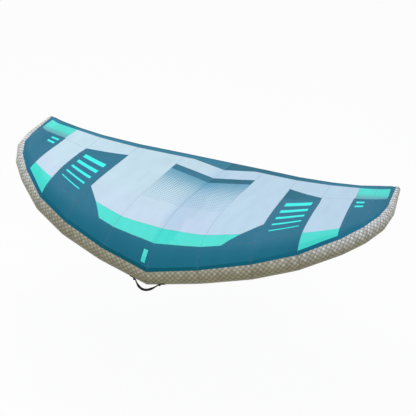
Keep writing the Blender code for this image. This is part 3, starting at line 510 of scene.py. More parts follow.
def mesh_object(work, name, *materials):
    """Turns the working mesh into an object."""
    data = bpy.data.meshes.new(name)
    work.to_mesh(data)
    work.free()
    for material in materials:
        data.materials.append(material)
    return new_object(name, data)


def new_work():
    work = bmesh.new()
    return work, work.loops.layers.uv.new("UVMap")


def closed_object(work, name, material):
    """An object of closed shells, with all their faces turned outwards."""
    bmesh.ops.recalc_face_normals(work, faces=work.faces)
    return mesh_object(work, name, material)


def bridge(work, a, b, layer=None, mark=None):
    """Smooth faces between two rings of points. mark says what to lay down at point k of either ring."""
    for k in range(len(a)):
        j = (k + 1) % len(a)
        face = work.faces.new((a[k], a[j], b[j], b[k]))
        face.smooth = True
        if mark:
            for loop, place in zip(face.loops, ((0, k), (0, k + 1), (1, k + 1), (1, k))):
                loop[layer].uv = mark(*place)


print("mesh helpers", [helper.__name__ for helper in (mesh_object, closed_object, bridge)])

# %% Cutting and painting the flat sheet


def sides(shape):
    return zip(shape, shape[1:] + shape[:1])


def inside(shape, s, c):
    hit = False
    for (s0, c0), (s1, c1) in sides(shape):
        if (c0 > c) != (c1 > c) and s < (s1 - s0) * (c - c0) / (c1 - c0) + s0:
            hit = not hit
    return hit


def cut_edge(work, a, b):
    """Cuts the flat sheet along a line, in the faces that the line crosses."""
    a, b = Vector((*a, 0)), Vector((*b, 0))
    way = (b - a).normalized()
    across = Vector((-way.y, way.x, 0))
    low, high = 1e-4, (b - a).length - 1e-4
    chosen = []
    for face in work.faces:
        runs = [(v.co - a).dot(way) for v in face.verts]
        offs = [(v.co - a).dot(across) for v in face.verts]
        if max(runs) > low and min(runs) < high and min(offs) < -1e-6 and max(offs) > 1e-6:
            chosen.append(face)
    edges = {e for f in chosen for e in f.edges}
    verts = {v for f in chosen for v in f.verts}
    if chosen:
        bmesh.ops.bisect_plane(work, geom=chosen + list(edges) + list(verts), dist=1e-6, plane_co=a,
                               plane_no=across)


def paint_face(face, names):
    """Gives a face of the flat sheet the cloth of the last block that it lies in."""
    middle = face.calc_center_median()
    cloth_name = "cloth_deep"
    for name, shape in BLOCKS:
        if inside(shape, abs(middle.x), middle.y):
            cloth_name = name
    if inside(NOSE_BAR, middle.x, middle.y):
        cloth_name = "cloth_turquoise"
    face.material_index = names.index(cloth_name)
    face.smooth = True


print("a point of the nose bar lies inside it:", inside(NOSE_BAR, -0.13, 0.03))

# %% Canopy
COLUMNS_PER_PANEL, ROWS, FINE_ROWS = 6, 44, [0.01, 0.034, 0.057]


def flat_sheet(work):
    steps = COLUMNS_PER_PANEL * TIP
    columns = [k / COLUMNS_PER_PANEL for k in range(-steps, steps + 1)]
    rows = sorted([k / ROWS for k in range(ROWS + 1)] + FINE_ROWS)
    grid = [[work.verts.new((s, c, 0)) for c in rows] for s in columns]
    for left_column, right_column in zip(grid, grid[1:]):
        for r in range(len(rows) - 1):
            work.faces.new((left_column[r], right_column[r], right_column[r + 1], left_column[r + 1]))


def make_canopy():
    work = bmesh.new()
    flat_sheet(work)
    for name, shape in BLOCKS:
        for side in (1, -1):
            for a, b in sides([(s * side, c) for s, c in shape]):
                cut_edge(work, a, b)
    for a, b in sides(NOSE_BAR):
        cut_edge(work, a, b)
    layer = work.loops.layers.uv.new("UVMap")
    for face in work.faces:
        paint_face(face, list(CLOTHS))
        for loop in face.loops:
            loop[layer].uv = loop.vert.co.xy
    for vert in work.verts:
        vert.co = cloth(vert.co.x, min(max(vert.co.y, 0), 1)) + NOSE
    area = sum(face.calc_area() for face in work.faces)
    return mesh_object(work, "canopy", *CLOTHS.values()), area


canopy, canopy_area = make_canopy()
print("canopy faces", len(canopy.data.polygons), "area", round(canopy_area, 3))

# %% [markdown]
# ## Seams and hem
# Each seam is a narrow doubled strip with a zigzag stitch, and the trailing edge is a folded hem. Lines
# painted on the canopy would lie flat in it. These are thin closed strips of their own, centred on the
# cloth, so they stand proud and their edges catch the light. The stitches are too small for geometry and
# come from nodes.

# %% Sewn tape


def thread_look(name, colour, opacity, stitch_pitch=0.004, stitch=(0.72, 0.76, 0.78)):
    """Sewn tape: v runs across it from -1 to 1 and u along it in metres."""
    look = Look(name, 0.6, Alpha=opacity)
    u, v = look.laid()
    zigzag = (u.repeat(stitch_pitch) * 2 - 0.5) * 1.1
    line = (v - zigzag).size().band(0.22, 0.10)
    hole = u.repeat(stitch_pitch / 2).band(0.5, 0.40)
    fray = look.noise(look.place(), 420.0, 3.0)
    edge = v.size().band(0.78, 0.98)
    base = look.mix(edge * 0.5 + fray * 0.2, colour, shade(colour, 0.55))
    height = line * hole * 0.5 + fray * 0.2 - edge * 0.4
    return look.finish(look.mix(line * hole * 0.6, base, stitch), height, 0.0012)


SEAM = thread_look("seam_strip", srgb(146, 158, 168), 0.17)
HEM_TAPE = thread_look("hem_tape", srgb(40, 104, 132), 1.0, 0.005, (0.10, 0.26, 0.34))
print("tapes", SEAM.name, HEM_TAPE.name)

# %% Strips that follow a surface
STRIP_SECTION = ((-1, 0.2), (-0.9, 1), (0, 1), (0.9, 1), (1, 0.2), (0.9, -1), (0, -1), (-0.9, -1))


def runs_along(points):
    """How far along its path each point lies."""
    runs = [0.0]
    for a, b in zip(points, points[1:]):
        runs.append(runs[-1] + (b - a).length)
    return runs


def add_strip(work, layer, path, width, thickness, place, normal):
    """A thin closed strip along a path of surface coordinates, centred on the surface."""
    points = [place(*p) for p in path]
    runs, rings = runs_along(points), []
    for n, (p, at) in enumerate(zip(points, path)):
        a, b = points[max(n - 1, 0)], points[min(n + 1, len(points) - 1)]
        up = normal(*at)
        over = (b - a).normalized().cross(up).normalized() * width / 2
        lift = up * thickness / 2
        rings.append([work.verts.new(p + over * f + lift * g) for f, g in STRIP_SECTION])
    for n in range(len(rings) - 1):
        bridge(work, rings[n], rings[n + 1], layer,
               lambda end, k: (runs[n + end], STRIP_SECTION[k % len(STRIP_SECTION)][0]))
    for end in (rings[0], rings[-1]):
        work.faces.new(end)


def strips(name, paths, width, thickness, material, place, normal):
    work, layer = new_work()
    for path in paths:
        add_strip(work, layer, path, width, thickness, place, normal)
    return closed_object(work, name, material)


def line(a, b, steps):
    return [(a[0] + (b[0] - a[0]) * n / steps, a[1] + (b[1] - a[1]) * n / steps) for n in range(steps + 1)]


def on_cloth(s, c):
    return cloth(s, c) + NOSE


print("points round a strip", len(STRIP_SECTION))

# %% Seams and hem
CHORD_SEAMS, HEM_LINE = 5, 0.9975
CROSS_SEAMS = ([(0, .147), (1, .147), (1.65, .172)], [(0, .073), (1, .077), (1.375, .084)],
               [(1.37, .090), (2, .104), (3, .147)], [(3, .692), (3.94, .692)])
seam_paths = [line((k, 0.0), (k, HEM + 0.01), 60) for k in range(-CHORD_SEAMS, CHORD_SEAMS + 1)]
for side in (1, -1):
    for route in CROSS_SEAMS:
        for a, b in zip(route, route[1:]):
            seam_paths.append(line((a[0] * side, a[1]), (b[0] * side, b[1]), 12))
seams = strips("canopy_seams", seam_paths, 0.005, 0.0012, SEAM, on_cloth, cloth_normal)
hem_path = [(s / 12, HEM_LINE) for s in range(-12 * TIP, 12 * TIP + 1)]
hem = strips("canopy_hem", [hem_path], 0.013, 0.0026, HEM_TAPE, on_cloth, cloth_normal)
print("seams", len(seam_paths))

# %% What the canopy stands for
for piece in (canopy, seams, hem):
    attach(piece, "wing")
gores = [f"canopy_gore_{side}_{k}" for side in ("right", "left") for k in range(1, 7)]
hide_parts(*gores, "seam_band_right", "seam_band_left")
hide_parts("trailing_hem_right", "trailing_hem_left")
print("gores replaced", len(gores))

# %% [markdown]
# ## Front tube
# The tube is sewn from straight panels, eight a side, so it bends at its mitres, and air keeps it round
# between them. A bevelled curve would bend all along, so rings of points are set along the panels, drawn in
# a little at each mitre. Its cloth has a diamond lattice of thicker threads. In the material two families
# of slanting lines make it, and each cell stands slightly proud and has a tone of its own. Light and shade
# are painted into its colour too: a paler upper side, whitish ends, glinting cells, lighter cell middles
# and a dimmer underside.

# %% Places on the front tube
TUBE_STEPS, PANEL_STEPS = 48, 10
MITRE_DIP, MITRE_SPREAD = 0.0012, 1 / 18


def tube_panel(t):
    """The panel of a place t along the tube, the share of the panel, and the side of the wing."""
    along = min(abs(t), TIP)
    i = min(int(along), TIP - 1)
    return i, along - i, 1 if t >= 0 else -1


def tube_radius(i, share):
    return TUBE_RADIUS * (RADIUS_SHARES[i] + (RADIUS_SHARES[i + 1] - RADIUS_SHARES[i]) * share)


def tube_middle(i, share):
    return tube_centre(i).lerp(tube_centre(i + 1), share)


def tube_place(t, angle, grow=0.0):
    """A point on the tube: t counts mitres from the centre, negative to the left, angle in degrees."""
    i, share, side = tube_panel(t)
    way = radial(i, angle).lerp(radial(i + 1, angle), share)
    p = tube_middle(i, share) + way * (tube_radius(i, share) + grow)
    return Vector((p.x * side, p.y, p.z))


def on_tube(t, angle):
    return tube_place(t, angle) + NOSE


def tube_normal(t, angle):
    return (tube_place(t, angle, 0.01) - tube_place(t, angle)).normalized()


print("tube radius at the nose", tube_radius(0, 0), "m")

# %% Diamond cloth
CELL_LONG, CELL_HIGH, THREAD_PITCH = 0.0415, 0.0410, 0.0016
# The upper side's colours are paler than the lower side's, as painted light from above. The END colours
# whiten the top towards the tips as a painted sky reflection, and GLEAM is a painted highlight.
LOW_DARK, LOW_PALE = srgb(108, 102, 76), srgb(158, 153, 126)
HIGH_DARK, HIGH_PALE = srgb(122, 118, 98), srgb(180, 178, 160)
END_DARK, END_PALE = srgb(140, 140, 130), srgb(240, 243, 246)
LATTICE_LINE, GLEAM = srgb(74, 70, 52), srgb(236, 238, 240)
UNSHADED, UNDERSIDE_SHADE = (1.0, 1.0, 1.0), (0.80, 0.78, 0.62)


def lattice_look(name):
    """Diamond cloth, with light and shade painted into its colour. u runs along the tube and v round it, in
    metres, with v below 0 on the upper side.
    """
    look = Look(name, 0.50, Sheen_Weight=0.15, Sheen_Roughness=0.35)
    u, v = look.laid()
    whole = look.place()
    a = u / CELL_LONG + v / CELL_HIGH
    b = u / CELL_LONG - v / CELL_HIGH
    fa, fb = a.fract() - 0.5, b.fract() - 0.5
    lines = fa.size().most(fb.size()).band(0.42, 0.49)
    puff = (0.25 - fa * fa) * (0.25 - fb * fb) * 16
    cell = look.node("CombineXYZ", {}, {0: a.floor(), 1: b.floor(), 2: 0.0})
    chance = look.node("TexWhiteNoise", {"noise_dimensions": "2D"}, {"Vector": cell}, "Value")
    drift = look.noise(whole, 9.0, 3.0)
    weave = u.repeat(THREAD_PITCH) + v.repeat(THREAD_PITCH)
    # puff lightens the middle of each cell, as painted light on its bulge. chance and drift are the cloth's
    # own uneven tone.
    tone = (chance - 0.5) * 0.30 + (drift - 0.5) * 0.4 + puff * 0.55 + 0.25
    # Faces that turn downwards are dimmed and yellowed, as painted shade on the underside.
    under = look.part(look.node("TexCoord", {}, {}, "Normal"), "Z").band(0.75, -0.85)
    # flash puts a painted highlight on every other cell of the upper side.
    flash = (u * pi / CELL_LONG).wave().band(0.35, 0.95) * v.band(0.03, -0.02) * puff
    # Towards the tips the top turns whitish, as a painted reflection of the sky.
    end = look.part(whole, "X").size().band(0.8, 1.65)
    low = look.mix(tone, LOW_DARK, LOW_PALE)
    high = look.mix(tone, look.mix(end, HIGH_DARK, END_DARK), look.mix(end, HIGH_PALE, END_PALE))
    # The upper side takes the paler colours, as painted light from above.
    lit = look.mix(flash * (end * 0.5 + 0.25), look.mix(v.band(0.06, -0.07), low, high), GLEAM)
    shaded_below = look.dim(lit, look.mix(under, UNSHADED, UNDERSIDE_SHADE))
    height = puff + weave * 0.05 + drift * 0.8
    return look.finish(look.mix(lines * 0.62, shaded_below, LATTICE_LINE), height, 0.0022, 0.55 - puff * 0.14)


LATTICE = lattice_look("tube_lattice")
print("lattice nodes", len(LATTICE.node_tree.nodes))

# %% Front tube


def make_tube():
    work, layer = new_work()
    stops = [n / PANEL_STEPS for n in range(-TIP * PANEL_STEPS, TIP * PANEL_STEPS + 1)]
    rings, centres = [], []
    for t in stops:
        i, share, side = tube_panel(t)
        dip = -MITRE_DIP * max(0, 1 - abs(t - round(t)) / MITRE_SPREAD)
        angles = [SEAM_ANGLES[0] + 200 + 360 / TUBE_STEPS * k for k in range(TUBE_STEPS)]
        rings.append([work.verts.new(tube_place(t, angle, dip) + NOSE) for angle in angles])
        centre = tube_middle(i, share)
        centres.append(Vector((centre.x * side, centre.y, centre.z)))
    runs = runs_along(centres)

    def mark(ring, k):
        radius = tube_radius(*tube_panel(stops[ring])[:2])
        return runs[ring] - runs[len(runs) // 2], (k / TUBE_STEPS - 0.5) * 2 * pi * radius
    for n in range(len(rings) - 1):
        bridge(work, rings[n], rings[n + 1], layer, lambda end, k: mark(n + end, k))
    return closed_object(work, "front_tube", LATTICE)


tube = make_tube()
print("tube faces", len(tube.data.polygons))

# %% Mitre seams, and what the tube stands for
MITRE = thread_look("mitre_strip", srgb(150, 146, 128), 0.14, 0.005, (0.45, 0.43, 0.38))
mitre_paths = [[(t, SEAM_ANGLES[0] + 9 * n) for n in range(41)] for t in range(-TIP + 1, TIP)]
mitres = strips("tube_seams", mitre_paths, 0.007, 0.0012, MITRE, on_tube, tube_normal)
for piece in (tube, mitres):
    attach(piece, "wing")
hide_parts(*[f"edge_sleeve_{side}_{k}" for side in ("right", "left") for k in range(1, 9)],
            "edge_bladder")
print("mitre seams", len(mitre_paths))

# %% [markdown]
# ## Centre strut
# A thinner tube starts on the front tube and hangs under the centre seam. Pushed in by eye, it would leave
# a gap or come through on the other side. So its first row of points is found on the front tube's own
# surface, one line along the strut at a time, by halving a span until it holds the crossing.

# %% Places on the strut
STRUT_RADIUS, STRUT_CLEARANCE, JOINT_GAP = 0.062, 0.0014, 0.0008
STRUT_SHARES = ((0.045, 0.97), (0.122, 0.99), (0.225, 1), (0.383, 0.97), (0.563, 0.89), (0.729, 0.77),
                (0.891, 0.645))
STRUT_HEIGHTS = (-0.020, 0.100)


def crossing(before):
    """The two ends of a tiny span, between 0 and 1, inside which a test stops being true."""
    low, high = 0.0, 1.0
    for _ in range(30):
        middle = (low + high) / 2
        low, high = (middle, high) if before(middle) else (low, middle)
    return low, high


def strut_station(k):
    """Centre, radius and upward direction of the strut at kink k, right under the cloth. The first two
    kinks hang lower, at heights of their own, and get their direction once all centres are known."""
    y, radius = CENTRE_LENGTH * STRUT_SHARES[k][0], STRUT_RADIUS * STRUT_SHARES[k][1]
    if k < len(STRUT_HEIGHTS):
        return Vector((0, y, STRUT_HEIGHTS[k])), radius, None
    c = crossing(lambda share: cloth(0, share).y < y)[0]
    a, b = cloth(0, c - 0.01), cloth(0, c + 0.01)
    slope = atan2(b.z - a.z, b.y - a.y)
    up = Vector((0, -sin(slope), cos(slope)))
    return Vector((0, y, cloth(0, c).z)) - up * (STRUT_CLEARANCE + radius), radius, up


def strut_stations():
    found = [strut_station(k) for k in range(len(STRUT_SHARES))]
    done = []
    for k, (centre, radius, up) in enumerate(found):
        if up is None:
            up = Vector((1, 0, 0)).cross((found[k + 1][0] - found[max(k - 1, 0)][0]).normalized())
        done.append((centre, radius, up))
    return done


STATIONS = strut_stations()


def strut_place(t, angle, grow=0.0):
    """A point on the strut: t counts its stations, angle in degrees from the right side."""
    k = min(int(t), len(STATIONS) - 2)
    (a, ra, ua), (b, rb, ub) = STATIONS[k], STATIONS[k + 1]
    across = Vector((cos(radians(angle)), 0, 0))
    pa = a + (across + ua * sin(radians(angle))) * (ra + grow)
    pb = b + (across + ub * sin(radians(angle))) * (rb + grow)
    return pa.lerp(pb, t - k)


print("strut stations", len(STATIONS))

# %% Where the strut meets the front tube


def start_on_tube(angle):
    """Where a line along the strut leaves the front tube."""
    a, b = tube_centre(0), tube_centre(1)
    way = (b - a).normalized()

    def within(t):
        p = strut_place(t, angle)
        p.x = abs(p.x)
        run = (p - a).dot(way)
        return (p - a - way * run).length < tube_radius(0, run / (b - a).length) + JOINT_GAP
    return crossing(within)[1]


def on_strut(t, angle):
    return strut_place(t, angle) + NOSE


def strut_normal(t, angle):
    return (strut_place(t, angle, 0.01) - strut_place(t, angle)).normalized()


print("strut starts on top at station", round(start_on_tube(90), 3))

# %% Strut
STRUT_STEPS, STATION_STEPS, STRUT_THREAD = 48, 6, 0.0018


def strut_look(name):
    look = Look(name, 0.55, Sheen_Weight=0.2, Sheen_Roughness=0.4)
    u, v = look.laid()
    weave = (u / STRUT_THREAD * pi).wave() * (v / STRUT_THREAD * pi).wave()
    drift = look.noise(look.place(), 7.0, 3.0)
    colour = look.mix((drift - 0.5) * 1.2 + weave * 0.10 + 0.4, srgb(84, 88, 92), srgb(118, 122, 126))
    return look.finish(colour, weave * 0.12 + drift * 1.6, 0.0014, 0.5 + drift * 0.12)


def make_strut():
    work, layer = new_work()
    angles = [90 - 360 / STRUT_STEPS * k for k in range(STRUT_STEPS)]
    rings = [[work.verts.new(on_strut(start_on_tube(angle), angle)) for angle in angles]]
    for n in range(STATION_STEPS * (len(STATIONS) - 2) + 1):
        rings.append([work.verts.new(on_strut(1 + n / STATION_STEPS, angle)) for angle in angles])
    for pair in zip(rings, rings[1:]):
        bridge(work, *pair, layer, lambda end, k: (pair[end][k % STRUT_STEPS].co.y,
                                                   k / STRUT_STEPS * 2 * pi * STRUT_RADIUS))
    return closed_object(work, "centre_strut", strut_look("strut_cloth"))


strut = make_strut()
print("strut faces", len(strut.data.polygons))

# %% Strut seams, and what the strut stands for
STRUT_TAPE = thread_look("strut_strip", srgb(60, 64, 68), 1.0, 0.005, (0.30, 0.32, 0.34))
turns = [90 - 9 * n for n in range(41)]
strut_paths = [[(start_on_tube(angle) + 0.03, angle) for angle in turns]]
strut_paths += [[(t, angle) for angle in turns] for t in (1, 2)]
strut_paths += [line((1.02, angle), (len(STATIONS) - 1, angle), 50) for angle in (200, -20)]
strut_seams = strips("strut_seams", strut_paths, 0.012, 0.0014, STRUT_TAPE, on_strut, strut_normal)
for piece in (strut, strut_seams):
    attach(piece, "wing")
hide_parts("strut_sleeve", "strut_bladder")
print("strut seams", len(strut_paths))

# %% [markdown]
# ## End caps
# Sewn patches close the strut's tail and the two tips, and the air behind rounds them. A flat disc would
# look sawn off, so each cap is a shallow dome that starts on the last ring of its tube.

# %% Black cloth
RIB_PITCH, CROSS_RIB_PITCH = 0.0016, 0.0024


def webbing_look(name, colour, rough=0.75):
    look = Look(name, rough, Specular_IOR_Level=0.3)
    u, v = look.laid()
    ribs = (u / RIB_PITCH * pi).wave() * (v / CROSS_RIB_PITCH * pi).wave()
    fuzz = look.noise(look.place(), 600.0, 3.0)
    return look.finish(look.mix(ribs * 0.4 + fuzz * 0.6, colour, shade(colour, 1.9)),
                       ribs * 0.5 + fuzz * 0.3, 0.0007)


BLACK_CLOTH = webbing_look("black_cloth", srgb(11, 11, 11))
print("cloth for caps and handle", BLACK_CLOTH.name)

# %% End caps
DOME_ANGLES, CAP_LIFT = (0.12, 0.3, 0.55, 0.8, 1.05, 1.3, 1.48), 0.0003
STRUT_CAP_DEPTH, TIP_CAP_DEPTH, TIP_CAP_STEPS = 0.0218, 0.0158, 40


def make_cap(name, points, out, depth):
    """A shallow dome on a ring of points, closed by a flat face below."""
    centre = sum(points, Vector()) / len(points)
    work, layer = new_work()
    dome = [(1.0, 0.0)] + [(cos(a), sin(a)) for a in DOME_ANGLES]
    rings = [[work.verts.new(centre + (p - centre) * width + out * (depth * height + CAP_LIFT))
              for p in points] for width, height in dome]
    top = work.verts.new(centre + out * (depth + CAP_LIFT))
    for a, b in zip(rings, rings[1:]):
        bridge(work, a, b)
    for a, b in sides(rings[-1]):
        work.faces.new((a, b, top)).smooth = True
    work.faces.new(list(reversed(rings[0])))
    for face in work.faces:
        for loop in face.loops:
            loop[layer].uv = (loop.vert.co.x + loop.vert.co.y, loop.vert.co.z)
    return closed_object(work, name, BLACK_CLOTH)


up = STATIONS[-1][2]
ring = [on_strut(len(STATIONS) - 1, 360 / STRUT_STEPS * n) for n in range(STRUT_STEPS)]
caps = [(make_cap("strut_end", ring, Vector((0, up.z, -up.y)), STRUT_CAP_DEPTH), "strut_tail_cap")]
along = tube_axes(TIP)[0]
for label, side in (("right", 1), ("left", -1)):
    ring = [on_tube(TIP * side, 360 / TIP_CAP_STEPS * n) for n in range(TIP_CAP_STEPS)]
    out = Vector((along.x * side, along.y, along.z))
    caps.append((make_cap(f"tip_end_{label}", ring, out, TIP_CAP_DEPTH), f"tip_cap_{label}"))
for piece, node in caps:
    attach(piece, "wing")
    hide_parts(node)
print("caps", len(caps))

# %% [markdown]
# ## Nose handle
# The wing is carried by its nose in a loop of rolled webbing that hangs between two flat tabs. A curve with
# a round bevel could make it. Rings of points let the loop swell in its middle, as a rolled strap does, and
# stay thin at its ends, where it would touch the tube as it swings.

# %% Nose handle
PIVOT = Vector((0, -0.64636, -0.09445))
HANG = Vector((0, -0.8627, -0.5056))
LOOP_REACH, LOOP_RADIUS, LOOP_DEPTH = 0.0997, 0.0065, 0.065
LOOP_END, LOOP_SWELL, LOOP_FLAT = 0.88, 0.72, 0.9
LOOP_COUNT, LOOP_SIDES = 60, 20


def loop_points():
    """From the right end to the left one, hanging as a parabola between them."""
    bend = [1 - 2 * n / LOOP_COUNT for n in range(LOOP_COUNT + 1)]
    return [PIVOT + Vector((LOOP_REACH, 0, 0)),
            *(PIVOT + Vector(((LOOP_REACH - LOOP_RADIUS) * across, 0, 0))
              + HANG * LOOP_DEPTH * (1 - across ** 2) for across in bend),
            PIVOT - Vector((LOOP_REACH, 0, 0))]


def make_loop():
    work, layer = new_work()
    points = loop_points()
    side_way = Vector((1, 0, 0)).cross(HANG)
    turn = 2 * pi / LOOP_SIDES
    runs, rings = runs_along(points), []
    for n, p in enumerate(points):
        before, after = points[max(n - 1, 0)], points[min(n + 1, len(points) - 1)]
        inward = side_way.cross((after - before).normalized())
        swell = (LOOP_END + LOOP_SWELL * ease(4, 16, n)
                 * ease(len(points) - 5, len(points) - 17, n))
        rings.append([work.verts.new(p + side_way * LOOP_RADIUS * swell * cos(turn * k)
                                     + inward * LOOP_RADIUS * LOOP_FLAT * swell * sin(turn * k))
                      for k in range(LOOP_SIDES)])
    for n in range(len(rings) - 1):
        bridge(work, rings[n], rings[n + 1], layer, lambda end, k: (runs[n + end], turn * k * LOOP_RADIUS))
    work.faces.new(rings[0])
    work.faces.new(rings[-1])
    return closed_object(work, "nose_handle_loop", BLACK_CLOTH)


nose_loop = make_loop()
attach(nose_loop, "nose_loop")
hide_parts("nose_loop")
print("handle faces", len(nose_loop.data.polygons))

# %% [markdown]
# ## Grips
# Each hard handle carries a foam sleeve with fine grooves round it, which keeps a wet hand from slipping.
# The grooves and pores are too fine for geometry and are left to bump. The rounded ends and the slightly
# fuller middle show in the outline, so they are in the mesh.

# %% Foam
GROOVE_PITCH = 0.006


def foam_look(name):
    look = Look(name, 0.85)
    whole = look.place()
    pores = look.node("TexVoronoi", {}, {"Vector": whole, "Scale": 900.0})
    tone = look.noise(whole, 60.0, 3.0)
    groove = look.part(whole, "Y").repeat(GROOVE_PITCH).band(0.36, 0.46)
    colour = look.mix(tone * 0.7 + pores * 0.2, srgb(26, 26, 28), srgb(50, 50, 53))
    return look.finish(colour, pores * 0.35 - groove, 0.0009)


FOAM = foam_look("foam")
print("foam nodes", len(FOAM.node_tree.nodes))

# %% Foam grips
GRIP_RADIUS, GRIP_BORE, GRIP_CREST, BORE_INSET, END_INSET = 0.0162, 0.0114, 0.0006, 0.0001, 0.004
GRIP_STEPS, GRIP_ROWS = 32, 40
GRIP_ENDS = ((0, 0.003), (0.0008, 0.0016), (0.003, 0.0003))
GRIPS = (("front_handle_grip", atan2(-0.0855, 0.9963), 0.180),
         ("rear_handle_grip", atan2(-0.1719, 0.9851), 0.330))


def grip_rows(length):
    """Places along a grip and the radius there, from the bore at one end to the bore at the other."""
    half = length / 2
    rows = [(-half + BORE_INSET, GRIP_BORE)]
    rows += [(-half + inset, GRIP_RADIUS - drop) for inset, drop in GRIP_ENDS]
    for n in range(1, GRIP_ROWS):
        y = -half + END_INSET + (length - 2 * END_INSET) * n / GRIP_ROWS
        rows.append((y, GRIP_RADIUS + GRIP_CREST * cos(pi * y / length)))
    rows += [(half - inset, GRIP_RADIUS - drop) for inset, drop in reversed(GRIP_ENDS)]
    return rows + [(half - BORE_INSET, GRIP_BORE)]


def make_grip(name, place, length):
    """A foam sleeve along the local Y axis of a matrix."""
    work = bmesh.new()
    turn = 2 * pi / GRIP_STEPS
    rings = [[work.verts.new(place @ Vector((r * cos(turn * k), y, r * sin(turn * k))))
              for k in range(GRIP_STEPS)] for y, r in grip_rows(length)]
    for a, b in sides(rings):
        bridge(work, a, b)
    return closed_object(work, name, FOAM)


for node, lean, length in GRIPS:
    low, high = (Vector(p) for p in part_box(node))
    place = Matrix.Translation((low + high) / 2) @ Matrix.Rotation(lean, 4, "X")
    grip = make_grip(node.replace("_handle_grip", "_foam_grip"), place, length)
    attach(grip, "wing")
    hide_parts(node)

# %% [markdown]
# ## Hard pieces
# Bars, feet, valve, fittings, clip and hose have their true shapes in the CAD model, so only their finish
# is made here. Moulded plastic has a fine grain with broader smudges. Anodised metal keeps the drawn lines
# along the bar, so its noise is squeezed across the bar and stretched along it.

# %% Hard finishes


def moulded(name, colour, rough, grain=500.0):
    look = Look(name, rough, Specular_IOR_Level=0.5)
    whole = look.place()
    fine = look.noise(whole, grain, 3.0)
    broad = look.noise(whole, 30.0, 3.0)
    tone = look.mix(broad * 0.6 + fine * 0.2, shade(colour, 0.8), shade(colour, 1.35))
    return look.finish(tone, fine * 0.4 + broad * 0.2, 0.0006, rough + (broad - 0.5) * 0.2)


def anodised(name):
    look = Look(name, 0.32, 0.85)
    whole = look.place()
    brush = look.noise(look.stretched(whole, (900.0, 12.0, 900.0)), 1.0, 2.0)
    smudge = look.noise(whole, 22.0, 3.0)
    return look.finish(look.mix(brush * 0.5 + smudge * 0.4, srgb(58, 60, 64), srgb(108, 112, 118)),
                       brush * 0.3, 0.0003, 0.26 + smudge * 0.16)


MOULD_BLACK = moulded("moulded_black_grain", srgb(28, 28, 30), 0.5)
MOULD_GREY = moulded("moulded_grey_grain", srgb(112, 116, 120), 0.42)
HOSE_SKIN = moulded("hose_skin", srgb(92, 96, 100), 0.5, 300.0)
ALLOY = anodised("black_anodised")
TAB_CLOTH = webbing_look("tab_webbing", srgb(26, 26, 28), 0.8)
print("nodes in moulded and anodised", len(MOULD_BLACK.node_tree.nodes), len(ALLOY.node_tree.nodes))

# %% Hard pieces
FINISHES = {
    "front_handle_bar": ALLOY, "rear_handle_bar": ALLOY, "valve_insert": MOULD_GREY,
    "hose_clip_lever": MOULD_GREY, "air_hose": HOSE_SKIN,
    "nose_tab_right": TAB_CLOTH, "nose_tab_left": TAB_CLOTH,
}
shown = [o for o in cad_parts.values() if not o.hide_render]
for obj in shown:
    for place in obj.material_slots:
        place.material = FINISHES.get(obj.name, MOULD_BLACK)
print("hard pieces", sorted(o.name for o in shown))

# %% [markdown]
# ## Soft pieces
# A simulation can't tell cloth from a shell by its mesh. The canopy is cloth stretched over the tube and
# the strut, and the rest are full of air. Here only the size of its flat cut is worked out, a little under
# the sheet's area.

canopy_area * 0.998

# %% [markdown]
# ## Floor and light
# The photograph shows the wing in the air before plain white. Brighter lamps would whiten the floor but
# bleach the cloth with it. Instead the floor and the world are white only to the rays that the eye sees,
# and light the wing as pale paper and a soft sky. The floor is open to a view from below, for the wing's
# underside. One broad soft lamp stands above and behind, with a weaker one in front.

# %% Floor
FLOOR_DEPTH, FLOOR_REACH, WHITE_SHARE = 1.25, 30, 0.94
PAPER_DARK, PAPER_PALE, WHITE = (0.80, 0.80, 0.80), (0.84, 0.84, 0.84), (1.0, 1.0, 1.0)


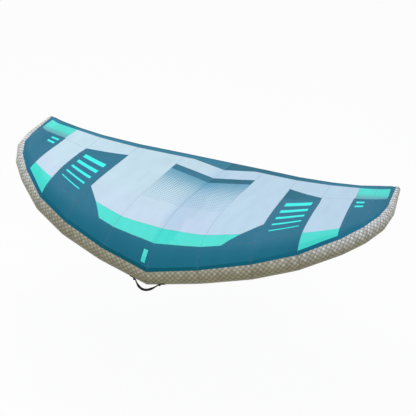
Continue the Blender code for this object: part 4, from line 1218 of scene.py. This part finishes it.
def paper_look(name):
    """Pale paper that is white to the eye, keeps a trace of the shadow, and is clear from below."""
    look = Look(name, 0.9, Specular_IOR_Level=0.2)
    look.finish(look.mix(look.noise(look.place(), 40.0, 2.0), PAPER_DARK, PAPER_PALE))
    white = look.node("Emission", {}, {"Color": WHITE, "Strength": 1.0})
    paper = Wire(look, look.shader.outputs[0])
    above = look.node("MixShader", {}, {0: look.eye() * WHITE_SHARE, 1: paper, 2: white})
    from_below = look.node("NewGeometry", {}, {}, "Backfacing")
    clear = look.node("BsdfTransparent", {}, {})
    whole = look.node("MixShader", {}, {0: from_below, 1: above, 2: clear})
    look.feed(look.tree.nodes["Material Output"].inputs[0], whole)
    return look.material


def make_floor():
    data = bpy.data.meshes.new("floor")
    far = FLOOR_REACH
    data.from_pydata([(-far, -far, 0), (far, -far, 0), (far, far, 0), (-far, far, 0)], [], [(0, 1, 2, 3)])
    data.materials.append(paper_look("floor_paper"))
    floor = new_object("floor", data)
    floor.location = (0, 0, -FLOOR_DEPTH)
    return floor


floor = make_floor()
print("floor", FLOOR_DEPTH, "m below the front grip")

# %% Lamps


def add_lamp(name, place, aim, size, power):
    data = bpy.data.lights.new(name, "AREA")
    data.shape = "DISK"
    data.size = size
    data.energy = power
    lamp = new_object(name, data)
    lamp.location = place
    lamp.rotation_euler = (Vector(aim) - Vector(place)).to_track_quat("-Z", "Y").to_euler()
    return lamp


lamps = [add_lamp("key", (-2.5, 2.0, 7.5), (0, 0.3, 0), 6.0, 300),
         add_lamp("front", (2.5, -7.0, 5.0), (0, 0, 0), 5.0, 190)]
print("lamps", len(lamps))

# %% World
SKY_COLOUR, SKY_STRENGTH = (0.95, 0.97, 1.0), 0.55


class Sky(Look):
    """The world's nodes: a soft light all round, and white to the eye."""

    def __init__(self, world):
        self.tree = world.node_tree
        self.tree.nodes.remove(self.tree.nodes["Background"])
        light = self.node("Background", {}, {"Color": SKY_COLOUR, "Strength": SKY_STRENGTH})
        white = self.node("Background", {}, {"Color": WHITE, "Strength": 1.0})
        both = self.node("MixShader", {}, {0: self.eye(), 1: light, 2: white})
        self.feed(self.tree.nodes["World Output"].inputs[0], both)


world = bpy.data.worlds.new("studio")
world.use_nodes = True
Sky(world)
bpy.context.scene.world = world
bpy.context.scene.view_settings.view_transform = "Standard"
print("world nodes", len(world.node_tree.nodes))

# %% [markdown] ## Finish Cloth stands a little proud of the CAD model.
